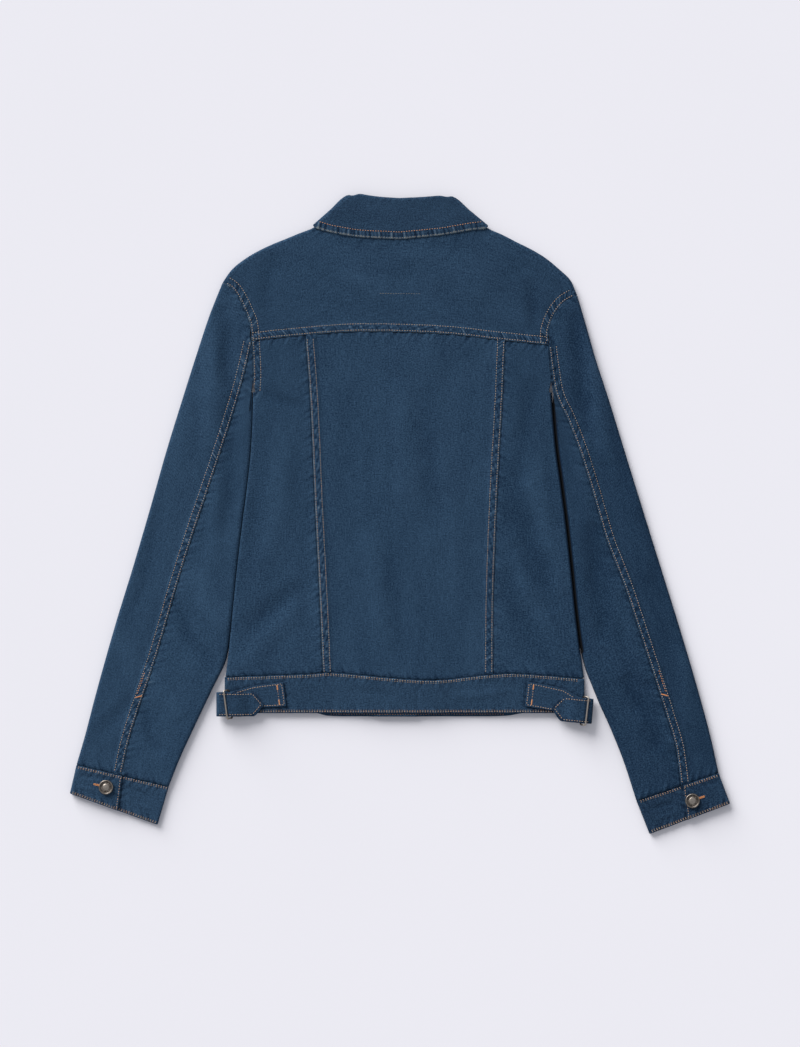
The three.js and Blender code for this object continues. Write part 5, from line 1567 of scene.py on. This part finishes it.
class Thread:
    """Collects stitches over made pieces, and makes them one piece."""

    def __init__(self, casting):
        self.casting = casting
        self.seed, self.seed_faces = stitch_seed()
        self.places, self.faces, self.tints = [], [], []

    def stitch(self, middle, way, length=STITCH, width=1.0, tint=0.4):
        half = np.asarray(way) * length * 0.4
        ends = [self.casting.hit(middle - half), self.casting.hit(middle + half)]
        if ends[0] is None or ends[1] is None or abs(ends[0][0][2] - ends[1][0][2]) > length * 0.7:
            return
        (a, na), (b, nb) = ends
        x = unit(b - a)
        z = unit(na + nb)
        y = unit(np.cross(z, x))
        z = np.cross(x, y)
        scaled = self.seed * vec(length / STITCH, width, 1)
        placed = (a + b) / 2 + z * 0.1 + scaled @ np.array([x, y, z])
        first = len(self.places) * len(self.seed)
        self.places.append(placed)
        self.faces += [[first + k for k in face] for face in self.seed_faces]
        self.tints += [tint] * len(self.seed)

    def row(self, line, offset=0.0, trim=(2.0, 2.0), tint=0.4, width=1.0, wander=0.12):
        """A row of stitches along a line, moved to its left by offset, with each end trimmed."""
        points = np.array(line, float)
        kept = np.linalg.norm(np.diff(points, axis=0), axis=1) > 0.01
        points = points[np.concatenate([[True], kept])]
        tangents = np.gradient(points, axis=0)
        tangents /= np.linalg.norm(tangents, axis=1, keepdims=True)
        points = points + np.stack([-tangents[:, 1], tangents[:, 0]], -1) * offset
        lengths = np.concatenate([[0], np.cumsum(np.linalg.norm(np.diff(points, axis=0), axis=1))])
        at = trim[0] + STITCH_PITCH / 2
        k = 0
        while at < lengths[-1] - trim[1]:
            p, q = (vec(*(np.interp(s, lengths, points[:, c]) for c in (0, 1))) for s in (at, at + 0.5))
            way = unit(q - p)
            aside = vec(-way[1], way[0]) * wander * math.sin(at * 0.19 + offset) * math.sin(at * 0.053)
            uneven = 0.10 * math.sin(k * 2.4 + offset * 3.1) + 0.08 * math.sin(k * 0.37)
            self.stitch(p + aside, way, STITCH * (1 + uneven * 0.4), width, tint + uneven)
            at += STITCH_PITCH
            k += 1

    def bartack(self, middle, way, length, width, tint=1.0):
        """Close cross stitches in a short bar."""
        way = unit(way)
        side = vec(-way[1], way[0])
        count = max(2, int(length / 0.5))
        for k in range(count):
            p = np.asarray(middle, float) + way * (k / (count - 1) - 0.5) * length
            self.stitch(p, side, width * (1 + 0.08 * math.sin(k * 2.1)), 0.9, tint)

    def buttonhole(self, start, end, tint=1.0):
        """Two bars of close stitches either side of a slit, and a bar across its far end."""
        start, end = np.asarray(start, float), np.asarray(end, float)
        way = direction(start, end)
        side = vec(-way[1], way[0])
        for s in (-1, 1):
            self.bartack(mix(start, end, 0.5) + side * s * 0.6, way, np.linalg.norm(end - start), 1.1, tint)
        self.bartack(start, side, 3.4, 1.2, tint)

    def sewn(self, name):
        mesh = bpy.data.meshes.new(name)
        places = np.concatenate(self.places) * MM
        mesh.from_pydata(places.tolist(), [], self.faces)
        made = mesh.attributes.new("tint", "FLOAT", "POINT")
        made.data.foreach_set("value", np.array(self.tints, np.float32))
        mesh.polygons.foreach_set("use_smooth", [True] * len(mesh.polygons))
        mesh.update()
        piece = bpy.data.objects.new(name, mesh)
        bpy.context.scene.collection.objects.link(piece)
        return piece


# What each operator makes
class JacketSizes(bpy.types.PropertyGroup):
    """Sizes that a user would change."""

    fineness: bpy.props.FloatProperty(
        name="Cloth spacing", description="Distance between points of the cloth", default=0.0028, min=0.001,
        subtype="DISTANCE", unit="LENGTH",
    )
    under_fineness: bpy.props.FloatProperty(
        name="Under layer spacing", description="Distance between points of the fronts", default=0.005,
        min=0.001,
        subtype="DISTANCE", unit="LENGTH",
    )
    button: bpy.props.FloatProperty(
        name="Button width", description="Diameter of a shank button", default=0.017, min=0.01,
        subtype="DISTANCE", unit="LENGTH",
    )


def colour_property(name, description, default):
    return bpy.props.FloatVectorProperty(
        name=name, description=description, default=default, size=3, min=0, max=1, subtype="COLOR",
    )


class JacketColours(bpy.types.PropertyGroup):
    """Colours that a user would change."""

    denim_dark: colour_property("Deep indigo", "Unworn side of the denim", (0.0034, 0.0160, 0.040))
    trim_dark: colour_property("Trim indigo", "Unworn side of the doubled cloth", (0.0040, 0.0150, 0.0365))
    denim_faded: colour_property("Faded indigo", "Washed-out side of the denim", (0.036, 0.082, 0.148))
    denim_worn: colour_property(
        "Worn white", "Edges and ridges where the white yarns show", (0.15, 0.19, 0.22)
    )
    # Painted shadow: near black for the cloth down in the gap beside the right sleeve
    denim_deep: colour_property("Deep fold", "Cloth down in a tight fold", (0.0006, 0.0014, 0.0032))
    denim_reverse: colour_property(
        "Reverse", "Inside of the denim, where the white yarns lie", (0.16, 0.20, 0.26)
    )
    thread_faded: colour_property("Faded thread", "Topstitches that the wash has dulled", (0.34, 0.30, 0.24))
    thread_bright: colour_property("Bright thread", "Bartacks and buttonholes", (0.60, 0.24, 0.08))
    brass_bright: colour_property("Rubbed brass", "Metal where it is rubbed", (0.47, 0.42, 0.37))
    brass_dark: colour_property("Dark brass", "Metal in its hollows", (0.05, 0.041, 0.036))
    floor: colour_property("Floor", "What the jacket lies on", (0.80, 0.792, 0.845))


class JACKET_OT_back(bpy.types.Operator):
    """Makes the yoke, the middle panel and the side panels of the back"""

    bl_idname = "jacket.back"
    bl_label = "Back"

    def execute(self, context):
        spacing = context.scene.jacket_sizes.fineness / MM
        paint = paint_of(context.scene.jacket_colours, "denim")
        arms = ["armhole_left", "armhole_right"]
        princess = ["princess_left", "princess_right"]
        plans = [
            ("back_yoke", yoke_grid(), ["yoke", *arms], ["collar"], 0.4, ((0, -1), (0, 1))),
            ("back_centre", back_centre_grid(), princess, ["yoke", "waist"], 1.7, ((), (0, 1, -2, -1))),
        ]
        for side, felled, seed in (("left", arms[:1], 2.9), ("right", [], 4.2)):
            plain = [f"princess_{side}", "yoke", "waist"]
            plans.append((f"back_side_{side}", back_side_grid(side), felled, plain, seed, ((), (4,))))
        for name, (grid, present), felled, plain, seed, close in plans:
            piece = cloth_piece(
                f"{name}_cloth", grid, present, spacing, seed, BODY_FOLDS, felled, plain, close=close,
                shadowed_gaps=PAINTED_GAP_SHADOWS.get(name, ()),
            )
            finish_piece(piece, paint, "denim", name)
            declare_cloth(grid, present)
        return {"FINISHED"}


class JACKET_OT_fronts(bpy.types.Operator):
    """Makes the two fronts, which lie underneath"""

    bl_idname = "jacket.fronts"
    bl_label = "Fronts"

    def execute(self, context):
        spacing = context.scene.jacket_sizes.under_fineness / MM
        paint = paint_of(context.scene.jacket_colours, "denim")
        for side, seed in (("left", 5.1), ("right", 6.3)):
            grid, present = front_grid(side)
            piece = cloth_piece(f"front_{side}_cloth", grid, present, spacing, seed)
            finish_piece(piece, paint, "denim", f"front_{side}")
            declare_cloth(grid, present)
        return {"FINISHED"}


class JACKET_OT_sleeves(bpy.types.Operator):
    """Makes both sleeves, each an upper and a lower piece, and their cuffs"""

    bl_idname = "jacket.sleeves"
    bl_label = "Sleeves and cuffs"

    def execute(self, context):
        spacing = context.scene.jacket_sizes.fineness / MM
        colours = context.scene.jacket_colours
        # Painted shade per sleeve and cuff: the left painted lighter and the right darker, as the light falls
        for side, seed, painted_piece_shade in (("left", 0.8, 0.08), ("right", 3.5, -0.05)):
            seam, others = f"sleeve_{side}", [f"armhole_{side}", f"wrist_{side}"]
            upper, lower = sleeve_grids(side)
            for part, grid, felled, plain, close in (
                ("upper", upper, [seam], others, (-2, -1)), ("lower", lower, [], [seam, *others], ()),
            ):
                name = f"sleeve_{part}_{side}"
                piece = cloth_piece(
                    f"{name}_cloth", grid, None, spacing, seed + len(felled), SLEEVE_FOLDS[side], felled,
                    plain,
                    close=((), close), painted_piece_shade=painted_piece_shade, shadowed_gaps=PAINTED_GAP_SHADOWS.get(name, ()),
                )
                finish_piece(piece, paint_of(colours, "denim"), "denim", name)
                declare_cloth(grid)
            grid, present = cuff_grid(side)
            seams = [f"wrist_{side}", f"cuff_end_{side}", f"flap_{side}"]
            piece = cloth_piece(
                f"cuff_{side}_cloth", grid, present, 1.5, seed, CUFF_FOLDS[side], plain=seams, thickness=CUFF,
                painted_piece_shade=painted_piece_shade, single=False,
            )
            finish_piece(piece, paint_of(colours, "denim_trim"), "denim_trim", f"cuff_{side}")
            declare_cloth(grid, present)
        return {"FINISHED"}


class JACKET_OT_trim(bpy.types.Operator):
    """Makes the collar, the waistband and the waist tabs"""

    bl_idname = "jacket.trim"
    bl_label = "Collar, waistband and tabs"

    def execute(self, context):
        paint = paint_of(context.scene.jacket_colours, "denim_trim")
        grid, present = collar_grid()
        # The collar is painted a little darker, as painted shade
        piece = cloth_piece(
            "collar_cloth", grid, present, 1.5, 2.2, plain=["roll"], thickness=COLLAR_CLOTH - 0.1,
            single=False, doubled=["collar"], painted_piece_shade=-0.1,
        )
        finish_piece(piece, paint, "denim_trim", "collar")
        declare_cloth(grid, present)
        grid, present = band_grid()
        piece = cloth_piece(
            "waistband_cloth", grid, present, 1.9, 1.1, BAND_FOLDS, thickness=BAND, single=False,
            plain=[
                "waist", "hem", *(f"{part}_strap_{side}" for part in ("sewn", "pointed") for side in SIDES),
            ],
        )
        finish_piece(piece, paint, "denim_trim", "waistband")
        declare_cloth(grid, present)
        for side in SIDES:
            lines = [f"pointed_strap_{side}", f"sewn_strap_{side}"]
            for part, grid, seams in zip(("sewn", "pointed"), tab_grids(side), (lines, lines[:1])):
                name = f"tab_{part}_{side}"
                piece = cloth_piece(
                    f"{name}_strap", grid, None, 1.1, plain=seams, thickness=STRAP, single=False
                )
                finish_piece(piece, paint, "denim_trim", name)
                declare_cloth(grid)
        return {"FINISHED"}


BUTTON_DEPTH = 3.6
FRONT_BUTTON_DEPTH = 2.25
FRONT_BUTTON_Y = (222, 138, 54, -30, -114, -209)
# A shank button from its seat to the middle of its face: share of its radius, and height
BUTTON_PROFILE = table(
    "radius z",
    (0.53, 0.0), (0.53, 1.0), (0.90, 1.0), (1.0, 1.6), (0.985, 3.2), (0.93, 3.6), (0.85, 3.6), (0.80, 3.25),
    (0.72, 2.75), (0.50, 2.8), (0.44, 3.2), (0.34, 3.45), (0.03, 3.58),
)
BEADS = 18
BEAD = 0.42


def shank_button(name, radius):
    """A round solid from a circle, extruded and resized step by step, with beads round its face."""
    deselect()
    start = BUTTON_PROFILE[0]
    bpy.ops.mesh.primitive_circle_add(vertices=44, radius=start["radius"] * radius * MM, fill_type="NGON")
    button = bpy.context.active_object
    button.name = button.data.name = name
    bpy.ops.object.mode_set(mode="EDIT")
    bpy.ops.mesh.select_all(action="SELECT")
    for before, after in zip(BUTTON_PROFILE[:-1], BUTTON_PROFILE[1:]):
        rise = (after["z"] - before["z"]) * MM
        bpy.ops.mesh.extrude_region_move(TRANSFORM_OT_translate={"value": (0, 0, rise)})
        ratio = after["radius"] / before["radius"]
        bpy.ops.transform.resize(value=(ratio, ratio, 1))
    bpy.ops.mesh.select_all(action="SELECT")
    bpy.ops.mesh.normals_make_consistent(inside=False)
    bpy.ops.object.mode_set(mode="OBJECT")
    bevel = button.modifiers.new("rims", "BEVEL")
    bevel.width = 0.12 * MM
    bevel.segments = 2
    bevel.limit_method = "ANGLE"
    bpy.ops.object.modifier_apply(modifier="rims")
    for k in range(BEADS):
        angle = 2 * math.pi * k / BEADS
        place = (0.60 * radius * math.cos(angle) * MM, 0.60 * radius * math.sin(angle) * MM, 2.85 * MM)
        bpy.ops.mesh.primitive_ico_sphere_add(subdivisions=1, radius=BEAD * MM, location=place)
        bpy.context.active_object.select_set(True)
        button.select_set(True)
        bpy.context.view_layer.objects.active = button
        bpy.ops.object.join()
    bpy.ops.object.shade_smooth_by_angle(angle=math.radians(40))
    return button


def wire_slider(name, tab):
    """A closed loop of wire: a ring pulled out to a long frame with rounded corners, laid over its strap."""
    deselect()
    wide = math.hypot(SLIDER["low_u"] - SLIDER["high_u"], SLIDER["low_z"] - SLIDER["high_z"])
    corner, wire = 1.6, SLIDER["wire"] / 2
    bpy.ops.mesh.primitive_torus_add(
        major_segments=28, minor_segments=14, major_radius=corner * MM, minor_radius=wire * MM,
        rotation=(0, 0, math.pi / 28),
    )
    slider = bpy.context.active_object
    slider.name = slider.data.name = name
    bpy.ops.object.transform_apply(location=False, rotation=True, scale=False)
    pulls = ((0, wide / 2 - corner), (1, SLIDER["length"] / 2 - corner))
    for axis, pull in pulls:
        for way in (-1, 1):
            bpy.ops.object.mode_set(mode="EDIT")
            bpy.ops.mesh.select_all(action="DESELECT")
            bpy.ops.object.mode_set(mode="OBJECT")
            for vertex in slider.data.vertices:
                vertex.select = vertex.co[axis] * way > 0
            bpy.ops.object.mode_set(mode="EDIT")
            move = [0, 0, 0]
            move[axis] = way * pull * MM
            bpy.ops.transform.translate(value=move)
            bpy.ops.object.mode_set(mode="OBJECT")
    inward, along = strap_frame(tab, tab["bar_lean"])
    du, dz = (SLIDER["low_u"] - SLIDER["high_u"]) / wide, (SLIDER["low_z"] - SLIDER["high_z"]) / wide
    short = Vector((inward[0] * du, inward[1] * du, dz))
    long = Vector((along[0], along[1], 0))
    up = short.cross(long)
    middle_u = (SLIDER["low_u"] + SLIDER["high_u"]) / 2
    p = shift(tab["slider"], inward, middle_u)
    place = Vector((p[0], p[1], (SLIDER["low_z"] + SLIDER["high_z"]) / 2)) * MM
    turn = Matrix((short, long, up)).transposed().to_4x4()
    slider.data.transform(Matrix.Translation(place) @ turn)
    bpy.ops.object.shade_smooth_by_angle(angle=math.radians(60))
    return slider


def store_rub_and_light(piece, rubbed):
    """Stores how rubbed the metal is at each of its points, with painted highlight and shade on the sliders.
    """
    made = piece.data.attributes.new("rub", "FLOAT", "POINT")
    made.data.foreach_set("value", np.asarray(rubbed, np.float32))


def rub_button(button, radius):
    """A button is rubbed in its middle and a little on its rim, and stays dark between them."""
    places = np.array([v.co for v in button.data.vertices]) / MM
    share = np.hypot(places[:, 0], places[:, 1]) / radius
    face = soft((places[:, 2] - 2.4) / 0.5)
    worn = np.interp(share, (0, 0.42, 0.5, 0.8, 0.88, 0.96, 1.0), (0.8, 0.8, 0.3, 0.1, 0.5, 0.4, 0.1))
    store_rub_and_light(button, face * worn)


def rub_and_light_by_height(piece, low, high):
    """The higher a wire stands, the lighter it is painted: rubbed wear, with painted highlight on the high
    wire and painted shade on the low one.
    """
    heights = np.array([v.co.z for v in piece.data.vertices]) / MM
    store_rub_and_light(piece, soft((heights - low) / (high - low)))


class JACKET_OT_metal(bpy.types.Operator):
    """Makes the shank buttons and the wire sliders"""

    bl_idname = "jacket.metal"
    bl_label = "Buttons and sliders"

    def execute(self, context):
        paint = paint_of(context.scene.jacket_colours, "antique_brass")
        radius = context.scene.jacket_sizes.button / MM / 2
        pattern = shank_button("shank", radius)
        rub_button(pattern, radius)
        for side in SIDES:
            piece = bpy.data.objects.new(f"cuff_button_{side}_shank", pattern.data.copy())
            context.scene.collection.objects.link(piece)
            at = Vector((*CUFFS[side]["button"], CUFF_FLAP_TOP + SEAM_GAP)) * MM
            piece.data.transform(Matrix.Translation(at))
            finish_piece(piece, paint, "antique_brass", f"cuff_button_{side}")
            slider = wire_slider(f"slider_{side}_wire", TABS[side])
            # Painted highlight on the slider's high wire and painted shade on its low wire
            rub_and_light_by_height(slider, 10, 15)
            finish_piece(slider, paint, "antique_brass", f"slider_{side}")
        flatten = Matrix.Diagonal((1, 1, FRONT_BUTTON_DEPTH / BUTTON_DEPTH, 1))
        for k, y in enumerate(FRONT_BUTTON_Y, 1):
            piece = bpy.data.objects.new(f"front_button_{k}_shank", pattern.data.copy())
            context.scene.collection.objects.link(piece)
            at = Matrix.Translation(Vector((0, y, FRONT_BUTTON_DEPTH)) * MM)
            piece.data.transform(at @ Matrix.Rotation(math.pi, 4, "X") @ flatten)
            finish_piece(piece, paint, "antique_brass", f"front_button_{k}")
        bpy.data.objects.remove(pattern)
        return {"FINISHED"}


TINT_SEAM = 0.16
PLACKET_TOP = -180
PLACKET_BAR = -214
TINT_TRIM = 0.26


class JACKET_OT_stitches(bpy.types.Operator):
    """Sews the topstitching, the bartacks and the buttonholes"""

    bl_idname = "jacket.stitches"
    bl_label = "Stitches"

    def execute(self, context):
        paint = paint_of(context.scene.jacket_colours, "thread")
        back = ["back_yoke_cloth", "back_centre_cloth", "back_side_left_cloth", "back_side_right_cloth"]
        sewing = Thread(Casting([*back]))
        for offset in (1.8, 9.0):
            sewing.row(SEAMS["yoke"], offset, tint=TINT_SEAM)
        for side in SIDES:
            sign = sign_of(side)
            for offset in (1.5, 8.6):
                sewing.row(SEAMS[f"princess_{side}"], sign * offset, tint=TINT_SEAM)
            arm = [p for p in SEAMS[f"armhole_{side}"] if side == "left" or p[1] > SEAM_ROW_Y["right"]]
            for offset in (1.8, 8.8):
                sewing.row(arm, -sign * offset, tint=TINT_SEAM)
        sewing.row([(-26, 257.4), (27, 257.0)], tint=-0.2, width=0.4)
        finish_piece(sewing.sewn("stitches_back"), paint, "denim_trim")
        for side in SIDES:
            sign = sign_of(side)
            sewing = Thread(Casting([f"sleeve_upper_{side}_cloth", f"sleeve_lower_{side}_cloth"]))
            seam = SEAMS[f"sleeve_{side}"]
            for offset in (1.6, 8.6):
                sewing.row(seam, sign * offset, tint=TINT_SEAM)
            placket = [p for p in seam if PLACKET_TOP > p[1] > PLACKET_BAR]
            sewing.row(placket, sign * 7.0, tint=0.9)
            sewing.bartack(placket[-1]
                           + vec(sign * 4.6, 0), (sign * 0.95, -0.25), 7.4, 1.5)
            finish_piece(sewing.sewn(f"stitches_sleeve_{side}"), paint, "denim_trim")
            c = CUFFS[side]
            sewing = Thread(Casting([f"cuff_{side}_cloth"]))
            for offset, width in ((1.6, 1.0), (3.1, 0.6)):
                sewing.row(SEAMS[f"wrist_{side}"], sign * offset, tint=TINT_TRIM, width=width)
                sewing.row(SEAMS[f"cuff_end_{side}"], -sign * offset, tint=TINT_TRIM, width=width)
            sewing.row(SEAMS[f"flap_{side}"], sign * 1.8, tint=TINT_TRIM)
            button = np.array(c["button"])
            across = direction(c["out_top"], c["in_top"])
            sewing.buttonhole(button - across * 8.2, button - across * 15)
            finish_piece(sewing.sewn(f"stitches_cuff_{side}"), paint, "denim_trim")
        sewing = Thread(Casting(["collar_cloth"]))
        sewing.row(SEAMS["collar"], EDGE_BAND, tint=0.62)
        sewing.row(SEAMS["collar"], 1.4, tint=0.0, width=0.5)
        finish_piece(sewing.sewn("stitches_collar"), paint, "denim_trim")
        sewing = Thread(Casting(["waistband_cloth"]))
        for offset, width in ((1.7, 1.0), (3.4, 0.55)):
            sewing.row(SEAMS["waist"], -offset, tint=TINT_SEAM, width=width)
            sewing.row(SEAMS["hem"], offset, tint=TINT_TRIM, width=width)
        hem_ends = [(FRONT_HEM["from"] + 6, HEM_Y - 1.4), (FRONT_HEM["to"] - 6, HEM_Y - 1.4)]
        sewing.row(hem_ends, tint=0.7, width=0.8)
        for side in SIDES:
            self.sew_tabs(sewing, side)
        finish_piece(sewing.sewn("stitches_waist"), paint, "denim_trim")
        self.sew_under_side(paint)
        return {"FINISHED"}

    def sew_under_side(self, paint):
        """The placket, its buttonholes, and the rows of the band and the cuffs, on the side laid down."""
        fronts = ["front_left_cloth", "front_right_cloth"]
        sewing = Thread(Casting([*fronts, "waistband_cloth", "collar_cloth"], under=True))
        for x in (-17.5, 17.5):
            sewing.row([(x, 226), (x, -186)], tint=TINT_SEAM)
        for y in FRONT_BUTTON_Y[:-1]:
            sewing.buttonhole((-10, y), (-18, y))
        for offset in (1.7, 3.4):
            sewing.row([(-196, HEM_Y + offset), (206, HEM_Y + offset)], tint=TINT_TRIM)
            sewing.row([(-196, -196 - offset), (206, -196 - offset)], tint=TINT_TRIM)
        sewing.casting = Casting([f"cuff_{side}_cloth" for side in SIDES], under=True)
        for side in SIDES:
            sign = sign_of(side)
            sewing.row(SEAMS[f"wrist_{side}"], sign * 2.4, tint=TINT_TRIM)
            sewing.row(SEAMS[f"cuff_end_{side}"], -sign * 2.4, tint=TINT_TRIM)
        finish_piece(sewing.sewn("stitches_front"), paint, "denim_trim")

    def sew_tabs(self, sewing, side):
        """Edge stitches round both straps, and the bar that holds the sewn strap."""
        tab = TABS[side]
        for part, line in (("pointed", pointed_strap_line(tab, 2.2)), ("sewn", sewn_strap_line(tab, 2.0))):
            sewing.casting = Casting([f"tab_{part}_{side}_strap"])
            for p, q in zip(line[:-1], line[1:]):
                sewing.row([p, q], trim=(0.2, 0.2), tint=TINT_TRIM)
        start = tab["sewn"][0]
        lean = tab["bar_lean"]
        across = strap_frame(tab, lean)[1]
        bar, spread = start["u"] - 7.5, start["half"] - 5.5
        ends = [on_strap(tab, lean, bar, start["v"] + s * spread) for s in (-1, 1)]
        for end in ends:
            sewing.bartack(end, across, 5.5, 1.7, 0.85)
        sewing.row(ends, tint=0.4, width=0.7)


# The stage
PHOTO = (800, 1047)
PIXEL = 1.17
PHOTO_CENTRE_Y = -11.1
LENS = 85
SENSOR = 36
SOFTBOX_WAY = (-0.52, 0.76, 0.38)
SOFTBOX_POWER = 5.0
SOFTBOX_ANGLE = 0.75
ROOM_LIGHT = 0.46


class JACKET_OT_stage(bpy.types.Operator):
    """Makes the floor, the soft light and the camera straight above"""

    bl_idname = "jacket.stage"
    bl_label = "Floor, light and camera"

    def execute(self, context):
        deselect()
        bpy.ops.mesh.primitive_plane_add(size=12, location=(0, 0, -0.0003))
        floor = context.active_object
        floor.name = "floor"
        floor.data.transform(floor.matrix_world)
        floor.matrix_world.identity()
        floor.data.materials.append(plain_floor("floor_paper", context.scene.jacket_colours.floor))
        world = bpy.data.worlds.new("studio")
        world.use_nodes = True
        world.node_tree.nodes["Background"].inputs[0].default_value = (0.93, 0.95, 1.0, 1)
        world.node_tree.nodes["Background"].inputs[1].default_value = ROOM_LIGHT
        context.scene.world = world
        context.scene.view_settings.view_transform = "Standard"
        light = bpy.data.lights.new("softbox", "SUN")
        light.energy = SOFTBOX_POWER
        light.angle = SOFTBOX_ANGLE
        light.color = (1.0, 0.99, 0.97)
        lamp = bpy.data.objects.new("softbox", light)
        lamp.location = SOFTBOX_WAY
        lamp.rotation_mode = "QUATERNION"
        lamp.rotation_quaternion = (-Vector(SOFTBOX_WAY)).to_track_quat("-Z", "Y")
        context.scene.collection.objects.link(lamp)
        camera = bpy.data.cameras.new("camera")
        camera.lens = LENS
        camera.sensor_width = SENSOR
        seen = bpy.data.objects.new("camera", camera)
        height = PHOTO[1] * PIXEL * MM * LENS / SENSOR
        seen.location = (0, PHOTO_CENTRE_Y * MM, height)
        context.scene.collection.objects.link(seen)
        context.scene.camera = seen
        return {"FINISHED"}


class JACKET_PT_panel(bpy.types.Panel):
    """Lists the jacket's pieces, sizes and colours"""

    bl_idname = "JACKET_PT_panel"
    bl_label = "Denim jacket"
    bl_space_type = "VIEW_3D"
    bl_region_type = "UI"
    bl_category = "Jacket"

    def draw(self, context):
        for group in (context.scene.jacket_sizes, context.scene.jacket_colours):
            for key in group.__annotations__:
                self.layout.prop(group, key)
        for step in STEPS:
            self.layout.operator(step.bl_idname)


STEPS = (
    JACKET_OT_stage, JACKET_OT_back, JACKET_OT_fronts, JACKET_OT_sleeves, JACKET_OT_trim, JACKET_OT_metal,
    JACKET_OT_stitches,
)
CLASSES = (JacketSizes, JacketColours, *STEPS, JACKET_PT_panel)


def register():
    for made in CLASSES:
        bpy.utils.register_class(made)
    bpy.types.Scene.jacket_sizes = bpy.props.PointerProperty(type=JacketSizes)
    bpy.types.Scene.jacket_colours = bpy.props.PointerProperty(type=JacketColours)


def unregister():
    del bpy.types.Scene.jacket_sizes
    del bpy.types.Scene.jacket_colours
    for made in reversed(CLASSES):
        bpy.utils.unregister_class(made)


def main():
    register()
    bpy.ops.jacket.stage()
    bpy.ops.jacket.back()
    bpy.ops.jacket.fronts()
    bpy.ops.jacket.sleeves()
    bpy.ops.jacket.trim()
    bpy.ops.jacket.metal()
    bpy.ops.jacket.stitches()


if __name__ == "__main__":
    main()
